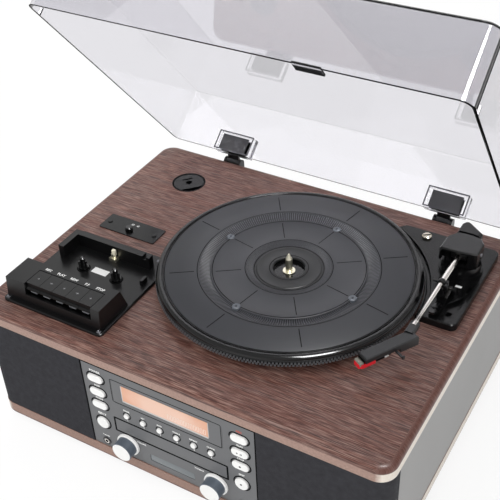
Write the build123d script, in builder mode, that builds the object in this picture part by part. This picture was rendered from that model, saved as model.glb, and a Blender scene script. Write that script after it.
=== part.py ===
"""Record player cabinet: turntable, cassette deck, disc tray, radio fascia and a hinged smoky lid."""
import os
from math import atan2, cos, degrees, radians, sin, sqrt

from build123d import *

os.makedirs("parts", exist_ok=True)

# Platter, in millimetres, and its distances to the cabinet's edges; the cabinet grows with it
platter_r = 136.5
left_to_platter = 129.6
platter_to_arm = 14.4
arm_to_right = 42.0
front_to_platter = 45.5
platter_to_back = 33.5

# Cabinet; x to the right, y to the back, z up from the standing plane
board_w = left_to_platter + 2 * platter_r + platter_to_arm + arm_to_right
board_d = front_to_platter + 2 * platter_r + platter_to_back
board_t = 18.0
board_corner = 17.0
arris = 6.5
body_h = 119.0
foot_h = 7.0
foot_r = 12.0
foot_x = board_w / 2 - 39.5
foot_y = board_d / 2 - 38.0
wall_t = 12.0
reveal = 0.5
seam = 0.3

base_top = foot_h + board_t
body_top = base_top + body_h
top = body_top + board_t
left = -board_w / 2
front = -board_d / 2
back = board_d / 2
panel_y = front + 1.0
wrap_y = front + 24.0
wrap_x = board_w / 2 - 30.0
back_t = 9.0

# Control fascia: sizes across x, and heights as shares of the body, measured down from its top
fascia_w = 198.6
fascia_t = 5.0
display_w = 127.0
display_h = 31.5
display_z = body_top - 0.237 * body_h
display_t = 2.5
disc_r = 60.5
disc_deep = 5.0
tray_body_w = 2 * disc_r + 7.0
tray_w = tray_body_w + 3.0
tray_h = 17.0
tray_z = body_top - 0.643 * body_h
tray_gap = 0.5
badge_w = 53.0
badge_h = 9.5
badge_z = body_top - 0.889 * body_h
badge_deep = 0.8
column_x = (tray_w + fascia_w) / 4 - 0.4
pill_w = 18.0
pill_h = 9.0
pill_drops = (0.164, 0.3235, 0.475)
round_r = 7.2
round_drop = 0.6916
key_r = 2.9
key_drop = 0.479
key_pitch = 0.0992 * fascia_w
key_count = 6
button_proud = 2.2
button_travel = 1.2
button_flange = 1.0
button_gap = 0.3
knob_x = column_x - 29.5
knob_drop = 0.836
knob_base_r = 12.5
knob_r = 11.2
knob_len = 13.7
knob_shaft_r = 3.0
run_gap = 0.05
jack_drop = 0.9286
jack_r = 5.0
jack_bore_r = 1.8
jack_len = 14.0
sensor_r = 4.0

# Disc tray and the box it slides in
tray_body_t = 8.0
tray_len = 2 * disc_r + 21.0
tray_slot_w = 34.0
box_wall = 2.0
box_len = tray_len + 8.0

# Platter, mat and centre pin; heights are above the top of the cabinet
platter_x = left + left_to_platter + platter_r
platter_y = front + front_to_platter + platter_r
platter_low = 9.2
tooth_top = 14.5
tooth_count = 180
tooth_deep = 0.8
mat_r = platter_r - 9.5
mat_top = 20.0
mat_low = 14.5
mat_bore = 16.5
pin_r = 3.57
pin_top = 34.0
clip_r = 6.4
clip_t = 0.8
clip_gap = 0.4
hub_low = 4.0
hub_top = 12.0
hub_r = 15.0

# Tone arm
arm_x = platter_x + platter_r + platter_to_arm
arm_y = back - 80.0
arm_z = 31.0
arm_len = 129.0
plate_high = 8.0
plate_arc = platter_r + 6.5
turret_r = 20.5
turret_top = 20.0
shaft_r = 5.0
tube_r = 2.8
tube_front = arm_y - arm_len
head_turn = 30.6
cue_x = arm_x + 3.6
cue_y = arm_y - 44.0
cue_z = 14.0
cue_pin_r = 1.5
screw_angle = radians(50.75)
screw_x = platter_x + (plate_arc + 16.5) * cos(screw_angle)
screw_y = platter_y + (plate_arc + 16.5) * sin(screw_angle)

# Cassette deck
deck_x0 = left + 21.0
deck_x1 = deck_x0 + 125.0
deck_y0 = front + 19.0
deck_y1 = deck_y0 + 131.0
deck_t = 3.0
key_block_h = 26.5
bay_x0 = deck_x0 + 16.0
bay_x1 = deck_x1 - 7.5
bay_y0 = deck_y0 + 42.0
bay_y1 = bay_y0 + 65.0
bay_wall = 7.0
bay_wall_h = 18.0
bay_side = 25.0
bay_end = 8.0
reel_x = (bay_x0 + 29.0, bay_x0 + 71.5)
reel_y = bay_y1 - 30.0
piano_count = 5
piano_w = 16.4
piano_x0 = deck_x0 + 28.5
piano_y0 = deck_y0 + 10.0
piano_axis_y = deck_y0 + 28.5
piano_axis_z = 21.5
sill_h = 13.0
rod_r = 1.5

# Small switch plate and the adaptor for wide centre holes
switch_x = (left + 31.5, left + 105.0)
switch_y = (deck_y1 + 16.7, deck_y1 + 43.2)
switch_t = 1.2
switch_button_x = left + 67.0
switch_button_y = deck_y1 + 25.5
switch_button_r = 4.2
switch_hole = (26.0, 14.0)
adaptor_x = left + 73.0
adaptor_y = back - 64.0
adaptor_r = 19.0
adaptor_t = 6.0
adaptor_chord = 12.3
cup_r = 19.95
cup_deep = 12.0
adaptor_turn = 47.0

# Lid, drawn on its own rim plane, which is tipped back by the angle of the photograph
lid_open = 50.6
lid_w = board_w - 18.4
lid_d = board_d - 10.0
lid_h = 68.0
lid_t = 3.0
lid_front_r = 14.0
lid_rear_r = 7.0
hinge_x = board_w / 2 - 93.0
hinge_y = back + 6.5
hinge_z = top - 6.3
base_len = 60.0
hinge_back = 11.9
hinge_drop = 7.3
hinge_pin_r = 2.5
barrel_r = 5.3
barrel_w = 15.0
cheek_t = 3.5
pocket_w = 48.0
pocket_h = 24.5
pocket_deep = 7.5
leaf_w = 36.0
leaf_h = 20.0
leaf_t = 4.0

tilt = radians(lid_open)
rim_y = hinge_y - hinge_back * cos(tilt) + hinge_drop * sin(tilt)
rim_z = hinge_z + hinge_back * sin(tilt) + hinge_drop * cos(tilt)


def keep(piece, label):
    piece.part.label = label
    export_step(piece.part, f"parts/{label}.step")


def drop(share):
    """Height of a point that lies the given share of the body's height below the body's top."""
    return body_top - share * body_h


def face_plane(x, z, y=panel_y):
    """Sketch plane that looks out of the front of the cabinet, with its normal along -Y."""
    return Plane(origin=(x, y, z), x_dir=(1, 0, 0), z_dir=(0, -1, 0))


def side_plane(x):
    """Sketch plane across the cabinet: its x is the object's y, and its y is the object's z."""
    return Plane(origin=(x, 0, 0), x_dir=(0, 1, 0), z_dir=(1, 0, 0))


# Boards above and below, with rounded corners and one rounded arris each
with BuildPart() as bottom_board:
    with BuildSketch(Plane.XY.offset(foot_h)):
        RectangleRounded(board_w, board_d, board_corner)
    extrude(amount=board_t)
    fillet(bottom_board.faces().sort_by(Axis.Z)[0].edges(), arris)
keep(bottom_board, "bottom_board")

deck_hole = (deck_x0 + 9, deck_x1 - 9, deck_y0 + 8, deck_y1 - 9)
with BuildPart() as top_board:
    with BuildSketch(Plane.XY.offset(body_top)):
        RectangleRounded(board_w, board_d, board_corner)
    extrude(amount=board_t)
    fillet(top_board.faces().sort_by(Axis.Z)[-1].edges(), arris)
    with BuildSketch(Plane.XY.offset(body_top)):
        with Locations(((deck_hole[0] + deck_hole[1]) / 2, (deck_hole[2] + deck_hole[3]) / 2)):
            Rectangle(deck_hole[1] - deck_hole[0], deck_hole[3] - deck_hole[2])
        with Locations((adaptor_x, adaptor_y)):
            Circle(cup_r + run_gap)
        with Locations((switch_button_x, switch_button_y)):
            Rectangle(*switch_hole)
        with Locations((arm_x, arm_y)):
            Circle(shaft_r + 4)
    extrude(amount=board_t, mode=Mode.SUBTRACT)
keep(top_board, "top_board")

with BuildPart() as feet:
    with BuildSketch():
        with GridLocations(2 * foot_x, 2 * foot_y, 2, 2):
            Circle(foot_r)
    extrude(amount=foot_h)
    chamfer(feet.faces().filter_by(GeomType.PLANE).sort_by(Axis.Z)[:4].edges(), 1.2)
keep(feet, "feet")


def body_ring(x0, x1, y0, y1, thick):
    """Adds the stretch of the cabinet's outer wall that lies within the given box."""
    middle = ((x0 + x1) / 2, (y0 + y1) / 2)
    with BuildSketch(Plane.XY.offset(base_top)) as plan:
        RectangleRounded(board_w - 2 * reveal, board_d - 2 * reveal, board_corner - reveal)
        RectangleRounded(
            board_w - 2 * reveal - 2 * thick,
            board_d - 2 * reveal - 2 * thick,
            max(board_corner - reveal - thick, 2),
            mode=Mode.SUBTRACT,
        )
        with Locations(middle):
            Rectangle(x1 - x0, y1 - y0, mode=Mode.INTERSECT)
    extrude(plan.sketch, amount=body_h)


for side, label in ((-1, "left"), (1, "right")):
    with BuildPart() as side_wall:
        ends = sorted((side * wrap_x, side * board_w / 2))
        body_ring(ends[0], ends[1], wrap_y + seam, back, wall_t)
    keep(side_wall, f"side_wall_{label}")

    with BuildPart() as grille:
        ends = sorted((side * (fascia_w / 2 + seam), side * board_w / 2))
        body_ring(ends[0], ends[1], front, wrap_y, back_t)
    keep(grille, f"grille_{label}")

inlet_w = 21.0
inlet_h = 10.0
inlet_deep = 6.0
inlet_x = 150.0
inlet_z = 50.0
inlet_plane = Plane(origin=(inlet_x, back - reveal, inlet_z), x_dir=(-1, 0, 0), z_dir=(0, 1, 0))
with BuildPart() as back_panel:
    body_ring(-wrap_x + seam, wrap_x - seam, 0, back, back_t)
    with BuildSketch(inlet_plane):
        SlotOverall(inlet_w, inlet_h)
    extrude(amount=-inlet_deep, mode=Mode.SUBTRACT)
    with BuildSketch(inlet_plane):
        with GridLocations(8.6, 1, 2, 1):
            Circle(1.2)
    extrude(amount=-inlet_deep)
keep(back_panel, "back_panel")

# Fascia with its display pocket, tray mouth, badge recess and holes for every control
key_xs = [(i - (key_count - 1) / 2) * key_pitch for i in range(key_count)]
pills = [(side, i) for side in (-1, 1) for i in range(len(pill_drops))]
with BuildPart() as front_panel:
    with BuildSketch(face_plane(0, base_top + body_h / 2)):
        Rectangle(fascia_w, body_h - 2 * seam)
    extrude(amount=-fascia_t)
    with BuildSketch(face_plane(0, display_z)):
        RectangleRounded(display_w, display_h, 3)
    extrude(amount=-display_t, mode=Mode.SUBTRACT)
    with BuildSketch(face_plane(0, badge_z)):
        RectangleRounded(badge_w, badge_h, 1)
    extrude(amount=-badge_deep, mode=Mode.SUBTRACT)
    with BuildSketch(face_plane(0, 0)):
        with Locations((0, tray_z)):
            Rectangle(tray_w + 2 * tray_gap, tray_h + 2 * tray_gap)
        for side, i in pills:
            with Locations((side * column_x, drop(pill_drops[i]))):
                SlotOverall(pill_w + 2 * button_gap, pill_h + 2 * button_gap)
        for side in (-1, 1):
            with Locations((side * column_x, drop(round_drop))):
                Circle(round_r + button_gap)
            with Locations((side * knob_x, drop(knob_drop))):
                Circle(knob_shaft_r + run_gap)
        for x in key_xs:
            with Locations((x, drop(key_drop))):
                Circle(key_r + button_gap)
        with Locations((-column_x, drop(jack_drop))):
            Circle(jack_r - 1)
    extrude(amount=-fascia_t, mode=Mode.SUBTRACT)
    with BuildSketch(face_plane(column_x, drop(jack_drop))):
        Circle(sensor_r)
    extrude(amount=-1, mode=Mode.SUBTRACT)
keep(front_panel, "front_panel")

with BuildPart() as display_window:
    with BuildSketch(face_plane(0, display_z)):
        RectangleRounded(display_w - 0.6, display_h - 0.6, 2.7)
    extrude(amount=-display_t)
keep(display_window, "display_window")

with BuildPart() as headphone_jack:
    with BuildSketch(face_plane(-column_x, drop(jack_drop))):
        Circle(jack_r)
    extrude(amount=0.8)
    with BuildSketch(face_plane(-column_x, drop(jack_drop))):
        Circle(jack_r - 1)
    extrude(amount=-(jack_len - 0.8))
    with BuildSketch(face_plane(-column_x, drop(jack_drop), panel_y - 0.8)):
        Circle(jack_bore_r)
    extrude(amount=-jack_len + 1, mode=Mode.SUBTRACT)
keep(headphone_jack, "headphone_jack")

# Push buttons: a cap that stands proud, and a flange behind the fascia that holds it in
flange_y = panel_y + fascia_t + seam


def button_body(profile, x, z):
    with BuildSketch(face_plane(x, z, panel_y - button_proud)) as cap:
        profile(0)
    extrude(cap.sketch, amount=-(flange_y - panel_y + button_proud))
    with BuildSketch(face_plane(x, z, flange_y)) as flange:
        profile(1.2)
    extrude(flange.sketch, amount=-button_flange)


def pill_outline(extra):
    SlotOverall(pill_w + 2 * extra, pill_h + 2 * extra)


def round_outline(extra):
    Circle(round_r + extra)


def key_outline(extra):
    Circle(key_r + extra)


for side, i in pills:
    with BuildPart() as pill:
        button_body(pill_outline, side * column_x, drop(pill_drops[i]))
        chamfer(pill.faces().sort_by(Axis.Y)[0].edges(), 0.6)
    keep(pill, f"pill_button_{'left' if side < 0 else 'right'}_{i + 1}")

for side, label in ((-1, "left"), (1, "right")):
    with BuildPart() as round_button:
        button_body(round_outline, side * column_x, drop(round_drop))
        chamfer(round_button.faces().sort_by(Axis.Y)[0].edges(), 0.6)
    keep(round_button, f"round_button_{label}")

    with BuildPart() as knob:
        with BuildSketch(face_plane(side * knob_x, drop(knob_drop), panel_y - seam)):
            Circle(knob_base_r)
        extrude(amount=2.6)
        with BuildSketch(face_plane(side * knob_x, drop(knob_drop), panel_y - seam)):
            Circle(knob_r)
        extrude(amount=knob_len)
        chamfer(knob.faces().sort_by(Axis.Y)[0].edges(), 0.7)
        with BuildSketch(face_plane(side * knob_x, drop(knob_drop), panel_y + fascia_t + 3)):
            Circle(knob_shaft_r)
        extrude(amount=fascia_t + 3 + seam)
    keep(knob, f"knob_{label}")

for number, x in enumerate(key_xs, 1):
    with BuildPart() as small_key:
        button_body(key_outline, x, drop(key_drop))
        chamfer(small_key.faces().sort_by(Axis.Y)[0].edges(), 0.5)
    keep(small_key, f"small_button_{number}")

# Disc tray, shut, and the box behind the fascia that it slides in
box_w = tray_w + 2 * tray_gap + 2 * box_wall
box_h = tray_h + 2 * tray_gap + 2 * box_wall
box_y = panel_y + fascia_t
with BuildPart() as cd_housing:
    with BuildSketch(face_plane(0, tray_z, box_y)):
        Rectangle(box_w, box_h)
        Rectangle(box_w - 2 * box_wall, box_h - 2 * box_wall, mode=Mode.SUBTRACT)
    extrude(amount=-box_len)
    with BuildSketch(face_plane(0, tray_z, box_y + box_len)):
        Rectangle(box_w, box_h)
    extrude(amount=-box_wall)
keep(cd_housing, "cd_housing")

tray_floor = tray_z - 5.5
with BuildPart() as cd_tray:
    with BuildSketch(face_plane(0, tray_z)):
        RectangleRounded(tray_w, tray_h, 1)
    extrude(amount=-3)
    with BuildSketch(Plane.XY.offset(tray_floor)):
        with Locations((0, panel_y + 3 + tray_len / 2)):
            Rectangle(tray_body_w, tray_len)
    extrude(amount=tray_body_t)
    with BuildSketch(Plane.XY.offset(tray_floor + tray_body_t - disc_deep)):
        with Locations((0, panel_y + 8 + disc_r)):
            Circle(disc_r)
    extrude(amount=disc_deep, mode=Mode.SUBTRACT)
    with BuildSketch(Plane.XY.offset(tray_floor)):
        with Locations((0, panel_y + 8 + disc_r + 20)):
            SlotCenterToCenter(tray_slot_w + 6, tray_slot_w, rotation=90)
    extrude(amount=tray_body_t, mode=Mode.SUBTRACT)
keep(cd_tray, "cd_tray")

# Fixed centre pin, platter and mat
with BuildPart() as spindle:
    with BuildSketch(Plane.XZ.offset(-platter_y)):
        with BuildLine():
            Polyline(
                (platter_x, top),
                (platter_x + 12, top),
                (platter_x + 12, top + 2),
                (platter_x + 8, top + 3.4),
                (platter_x + pin_r, top + 3.4),
                (platter_x + pin_r, top + hub_top + clip_gap),
                (platter_x + clip_r, top + hub_top + clip_gap),
                (platter_x + clip_r, top + hub_top + clip_gap + clip_t),
                (platter_x + pin_r, top + hub_top + clip_gap + clip_t),
                (platter_x + pin_r, top + pin_top - 6),
                (platter_x + 0.8, top + pin_top),
                (platter_x, top + pin_top),
                close=True,
            )
        make_face()
    revolve(axis=Axis((platter_x, platter_y, 0), (0, 0, 1)))
keep(spindle, "spindle")


def turned(points):
    """Adds a solid of revolution about the platter's axis, from (radius, height) points."""
    with BuildSketch(Plane.XZ.offset(-platter_y)) as section:
        with BuildLine():
            Polyline(*[(platter_x + r, top + z) for r, z in points], close=True)
        make_face()
    revolve(section.sketch, axis=Axis((platter_x, platter_y, 0), (0, 0, 1)))


deck_under = mat_low - 3
with BuildPart() as platter:
    turned(
        (
            (pin_r + run_gap, hub_low),
            (hub_r, hub_low),
            (hub_r, hub_top - 3),
            (platter_r - 7, deck_under),
            (platter_r - 6, platter_low),
            (platter_r - tooth_deep, platter_low),
            (platter_r - tooth_deep, tooth_top + 0.2),
            (platter_r - 2.0, mat_top - 3.0),
            (platter_r - 3.4, mat_top - 0.9),
            (platter_r - 6.0, mat_top + 0.1),
            (platter_r - 8.6, mat_top - 0.4),
            (mat_r + seam, mat_top - 2.2),
            (mat_r + seam, mat_low),
            (mat_bore, mat_low),
            (mat_bore, hub_top),
            (pin_r + run_gap, hub_top),
        )
    )
    with BuildSketch(Plane.XY.offset(top + platter_low + 0.6)):
        with Locations((platter_x, platter_y)):
            with PolarLocations(platter_r - tooth_deep, tooth_count):
                Rectangle(2 * tooth_deep, 2.2)
    extrude(amount=tooth_top - platter_low - 0.8)
keep(platter, "platter")

ring_out = 92.0
ring_in = 84.0
plateau_r = 79.8
label_r = 43.5
with BuildPart() as platter_mat:
    turned(
        (
            (mat_bore, mat_low),
            (mat_r, mat_low),
            (mat_r, mat_top - 0.3),
            (mat_r - 0.4, mat_top),
            (ring_out, mat_top),
            (ring_in, mat_top - 3.6),
            (plateau_r + 0.6, mat_top - 3.6),
            (plateau_r, mat_top - 1.8),
            (label_r, mat_top - 1.8),
            (label_r - 6.5, mat_top - 4.0),
            (32, mat_top - 4.0),
            (31.5, mat_top - 3.4),
            (mat_bore, mat_top - 3.4),
        )
    )
keep(platter_mat, "platter_mat")

# Plate that carries the tone arm: its inner edge follows the platter
plate_x1 = arm_x + 27.0
plate_y0 = arm_y - 87.5
plate_y1 = arm_y + 45.0
low_angle = degrees(atan2(plate_y0 - platter_y, sqrt(plate_arc**2 - (plate_y0 - platter_y) ** 2)))
lobe_y = plate_y1 - 8
lobe_angle = degrees(atan2(lobe_y - platter_y, sqrt(plate_arc**2 - (lobe_y - platter_y) ** 2)))
lobe_x = platter_x + plate_arc * cos(radians(lobe_angle))
with BuildPart() as mech_plate:
    with BuildSketch(Plane.XY.offset(top)):
        with BuildLine():
            CenterArc((platter_x, platter_y), plate_arc, low_angle, lobe_angle - low_angle)
            Polyline(
                (lobe_x, lobe_y),
                (lobe_x + 8, plate_y1),
                (plate_x1, plate_y1),
                (plate_x1, plate_y0),
                (platter_x + plate_arc * cos(radians(low_angle)), plate_y0),
            )
        make_face()
    extrude(amount=plate_high)
    fillet(mech_plate.edges().filter_by(Axis.Z).sort_by(Axis.X)[-2:], 7)
    chamfer(mech_plate.faces().sort_by(Axis.Z)[-1].edges(), 1.0)
    for r, high in ((turret_r + 2, 4), (turret_r, turret_top - plate_high)):
        with BuildSketch(Plane.XY.offset(top + plate_high)):
            with Locations((arm_x, arm_y)):
                Circle(r)
        extrude(amount=high)
    for x in (cue_x - 3.3, cue_x + 4 + seam):
        with BuildSketch(side_plane(x)):
            with Locations((cue_y, top + cue_z)):
                Circle(3)
            with Locations((cue_y, top + (plate_high - 1 + cue_z) / 2)):
                Rectangle(6, cue_z - plate_high + 1)
        extrude(amount=3)
    with BuildSketch(side_plane(cue_x - 3.3)):
        with Locations((cue_y, top + cue_z)):
            Circle(cue_pin_r)
    extrude(amount=10)
    with BuildSketch(Plane.XY.offset(top)):
        with Locations((arm_x, arm_y)):
            Circle(shaft_r + run_gap)
    extrude(amount=turret_top, mode=Mode.SUBTRACT)
    with BuildSketch(Plane.XY.offset(top + plate_high - 4)):
        with BuildLine():
            Spline(
                (arm_x + 7.5, plate_y0 + 22),
                (arm_x + 10.5, plate_y0 + 30.5),
                (arm_x + 16.5, plate_y0 + 38.5),
                (arm_x + 18.5, plate_y0 + 61.5),
                tangents=((0, 1), (0, 1)),
            )
            Polyline(
                (arm_x + 18.5, plate_y0 + 61.5),
                (arm_x + 22, plate_y0 + 61.5),
                (arm_x + 22, plate_y0 + 6),
                (arm_x + 7.5, plate_y0 + 6),
                (arm_x + 7.5, plate_y0 + 22),
            )
        make_face()
    extrude(amount=4, mode=Mode.SUBTRACT)
    with BuildSketch(Plane.XY.offset(top + plate_high - 7)):
        with Locations((arm_x + 14, plate_y0 + 18)):
            Rectangle(5.5, 7)
    extrude(amount=7, mode=Mode.SUBTRACT)
    with BuildSketch(Plane.XY.offset(top)):
        with Locations((screw_x, screw_y)):
            Circle(2.6)
    extrude(amount=plate_high, mode=Mode.SUBTRACT)
keep(mech_plate, "mech_plate")

with BuildPart() as transit_screw:
    with BuildSketch(Plane.XY.offset(top)):
        with Locations((screw_x, screw_y)):
            Circle(2.5)
    extrude(amount=plate_high + seam)
    with BuildSketch(Plane.XY.offset(top + plate_high + seam)):
        with Locations((screw_x, screw_y)):
            Circle(5.2)
    extrude(amount=2.6)
    chamfer(transit_screw.faces().sort_by(Axis.Z)[-1].edges(), 0.9)
    with BuildSketch(Plane.XY.offset(top + plate_high + seam + 1.4)):
        with Locations((screw_x, screw_y)):
            Rectangle(12, 1.4, rotation=35)
    extrude(amount=2, mode=Mode.SUBTRACT)
keep(transit_screw, "transit_screw")

rest_y = arm_y - 56.0
with BuildPart() as arm_rest:
    with BuildSketch(Plane.XY.offset(top + plate_high)):
        with Locations((arm_x - 0.6, rest_y)):
            RectangleRounded(6.8, 7, 2)
    extrude(amount=6)
    with BuildSketch(Plane.XZ.offset(-(rest_y + 2))):
        with BuildLine():
            Polyline(
                (arm_x - 3.4, top + plate_high + 5),
                (arm_x + 2.4, top + plate_high + 5),
                (arm_x + 2.4, top + plate_high + 12.5),
                (arm_x + 6, top + plate_high + 14.5),
                (arm_x + 6, top + arm_z + 1.5),
                (arm_x + 3.8, top + arm_z + 1.5),
                (arm_x + 3.5, top + arm_z - tube_r - 0.9),
                (arm_x - 3.4, top + arm_z - tube_r - 0.9),
                close=True,
            )
        make_face()
    extrude(amount=4)
keep(arm_rest, "arm_rest")

# Swinging yoke: a turned foot in the turret and a cap with a channel for the arm
yoke_low = turret_top + seam
yoke_neck_r = 15.5
cap_low = 25.0
cap_top = 40.0
channel_w = 20.0
mouth_x0 = -17.0
mouth_x1 = 8.0
lip_low = turret_top + 1.3
with BuildPart() as arm_yoke:
    with BuildSketch(Plane.XY.offset(top + 1)):
        with Locations((arm_x, arm_y)):
            Circle(shaft_r)
    extrude(amount=yoke_low - 1)
    with BuildSketch(Plane.XY.offset(top + yoke_low)):
        with Locations((arm_x, arm_y)):
            Circle(yoke_neck_r)
    extrude(amount=cap_low - yoke_low)
    with BuildSketch(Plane((arm_x, arm_y, top + cap_low))):
        with BuildLine():
            ThreePointArc((-19, -16.5), (1, -16.2), (19.2, -12.5))
            Polyline((19.2, -12.5), (19.2, 7.5), (13.5, 15.4))
            ThreePointArc((13.5, 15.4), (1, 16.9), (-12, 15.4))
            Polyline((-12, 15.4), (-18.5, 5), (-19, -16.5))
        make_face()
    extrude(amount=cap_top - cap_low)
    chamfer(arm_yoke.faces().sort_by(Axis.Z)[-1].edges(), 1.3)
    with BuildSketch(Plane((arm_x, arm_y, top + lip_low))):
        Polygon((mouth_x1, -15.2), (19.2, -12.5), (19.2, -4), (mouth_x1, -4), align=None)
    extrude(amount=cap_low - lip_low)
    with BuildSketch(Plane.XY.offset(top + cap_low)):
        with Locations((arm_x + (mouth_x0 + mouth_x1) / 2, arm_y - yoke_neck_r)):
            Rectangle(mouth_x1 - mouth_x0, 10)
    extrude(amount=12, mode=Mode.SUBTRACT)
    with BuildSketch(Plane.XY.offset(top + cap_low)):
        with Locations((arm_x, arm_y)):
            Rectangle(channel_w, 4 * yoke_neck_r)
    extrude(amount=12, mode=Mode.SUBTRACT)
    with BuildSketch(side_plane(arm_x - channel_w / 2 - 3)):
        with Locations((arm_y, top + arm_z)):
            Circle(1.5)
    extrude(amount=channel_w + 6)
keep(arm_yoke, "arm_yoke")

# Tilting arm: pivot block with its tail, tube, head, cartridge and stylus guard
block_w = channel_w - 4
tail_y = arm_y + 17.5
tail_low = 25.5
tail_top = cap_top - 0.2
with BuildPart() as arm_block:
    with BuildSketch(side_plane(arm_x - block_w / 2)):
        with Locations((arm_y, top + arm_z)):
            RectangleRounded(24, 8, 2)
    extrude(amount=block_w)
    with BuildSketch(side_plane(arm_x - 5.5)):
        with Locations(((arm_y + 11 + tail_y + 4) / 2, top + arm_z)):
            Rectangle(tail_y - arm_y - 7, 7)
    extrude(amount=11)
    with BuildSketch(Plane.XY.offset(top + tail_low)):
        with BuildLine():
            Line((arm_x - 13, tail_y + 15), (arm_x - 13, tail_y))
            ThreePointArc((arm_x - 13, tail_y), (arm_x - 1, tail_y + 1.4), (arm_x + 11.5, tail_y))
            Polyline((arm_x + 11.5, tail_y), (arm_x + 11.5, tail_y + 8), (arm_x - 5, tail_y + 20.5))
            ThreePointArc(
                (arm_x - 5, tail_y + 20.5), (arm_x - 10.8, tail_y + 20), (arm_x - 13, tail_y + 15)
            )
        make_face()
    extrude(amount=tail_top - tail_low)
    chamfer(arm_block.faces().sort_by(Axis.Z)[-1].edges().sort_by(Axis.Y)[1:], 2.5)
    with BuildSketch(side_plane(arm_x - block_w)):
        with Locations((arm_y, top + arm_z)):
            Circle(1.5 + run_gap)
    extrude(amount=2 * block_w, mode=Mode.SUBTRACT)
    with BuildSketch(Plane.XZ.offset(-(arm_y - 13))):
        with Locations((arm_x, top + arm_z)):
            Circle(tube_r + run_gap)
    extrude(amount=-7, mode=Mode.SUBTRACT)
keep(arm_block, "arm_block")

with BuildPart() as arm_tube:
    with BuildSketch(Plane.XZ.offset(-tube_front)):
        with Locations((arm_x, top + arm_z)):
            Circle(tube_r)
            Circle(tube_r - 0.8, mode=Mode.SUBTRACT)
    extrude(amount=-(arm_y - 6.5 - tube_front))
keep(arm_tube, "arm_tube")

# The head is drawn on a plane that is turned with it: x runs towards its nose, y to its left
nose = (-sin(radians(head_turn)), -cos(radians(head_turn)), 0)
head_x = arm_x + 3.3
head_y = tube_front - 10.5
head_w = 12.5
head_len = 58.0
head_top = arm_z + 0.5
head_low = head_top - 10


def head_plane(z):
    return Plane(origin=(head_x, head_y, top + z), x_dir=nose, z_dir=(0, 0, 1))


step = 17.0
lever_at = 22.4
with BuildPart() as headshell:
    with BuildSketch(head_plane(head_low)):
        with Locations((head_len / 2 - 3, 0)):
            Rectangle(head_len, head_w)
    extrude(amount=10)
    chamfer(headshell.faces().sort_by(Axis.Z)[-1].edges(), 0.9)
    with BuildSketch(Plane.XZ.offset(-(tube_front + 5))):
        with Locations((arm_x, top + arm_z - 1.4)):
            RectangleRounded(9, 6.4, 1.5)
    extrude(amount=16)
    with BuildSketch(head_plane(head_low)):
        with Locations((head_len / 2 + 14, 0)):
            Rectangle(36, head_w - 2.4)
    extrude(amount=6.5, mode=Mode.SUBTRACT)
    with BuildSketch(head_plane(head_low)):
        with Locations((step + head_len / 2, 0)):
            Rectangle(head_len, head_w + 2)
    extrude(amount=4.5, mode=Mode.SUBTRACT)
    with BuildSketch(Plane.XZ.offset(-(tube_front + 8))):
        with Locations((arm_x, top + arm_z)):
            Circle(tube_r)
    extrude(amount=8, mode=Mode.SUBTRACT)
    with BuildSketch(head_plane(head_low + 3.9)):
        with Locations((lever_at, head_w / 2 + 5.4)):
            Rectangle(2.2, 12.8)
    extrude(amount=1.6)
    with BuildSketch(head_plane(head_low + 3.9)):
        with Locations((lever_at, head_w / 2 + 11)):
            Rectangle(2.2, 1.6)
    extrude(amount=3.4)
keep(headshell, "headshell")

guard_low = 21.2
guard_top = head_low + 3.9
with BuildPart() as cartridge:
    with BuildSketch(head_plane(head_low + 1.2)):
        with Locations((41, 0)):
            Rectangle(30, head_w - 3.7)
    extrude(amount=5)
keep(cartridge, "cartridge")

with BuildPart() as stylus_guard:
    with BuildSketch(head_plane(guard_low)):
        with BuildLine():
            Polyline((44, -5.4), (44, 5.6), (57.5, 5.6), (61, 3.6), (61, -3.6), (57.5, -5.4), close=True)
        make_face()
    extrude(amount=guard_top - guard_low)
    with BuildSketch(head_plane(head_low + 1.1)):
        with Locations((48, 0)):
            Rectangle(17, head_w - 3.3)
    extrude(amount=guard_top, mode=Mode.SUBTRACT)
keep(stylus_guard, "stylus_guard")

with BuildPart() as cue_lever:
    with BuildSketch(side_plane(cue_x)):
        with Locations((cue_y, top + cue_z)):
            Circle(4)
        with BuildLine():
            Polyline(
                (cue_y - 3.2, top + cue_z + 2.0),
                (cue_y - 3.4, top + cue_z - 1.2),
                (cue_y - 28, top + cue_z - 3.5),
                (cue_y - 28, top + cue_z - 0.5),
                close=True,
            )
        make_face()
    extrude(amount=4)
    with BuildSketch(Plane.XY.offset(top + cue_z - 3.5)):
        with BuildLine():
            Polyline(
                (cue_x + 4, cue_y - 20),
                (cue_x + 3.4, cue_y - 36),
                (cue_x, cue_y - 40),
                (cue_x - 5, cue_y - 40),
                (cue_x - 6.6, cue_y - 36),
                (cue_x - 4.6, cue_y - 26),
                (cue_x, cue_y - 20),
                close=True,
            )
        make_face()
    extrude(amount=2.8)
    with BuildSketch(side_plane(cue_x - 1)):
        with Locations((cue_y, top + cue_z)):
            Circle(cue_pin_r + run_gap)
    extrude(amount=6, mode=Mode.SUBTRACT)
keep(cue_lever, "cue_lever")

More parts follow.
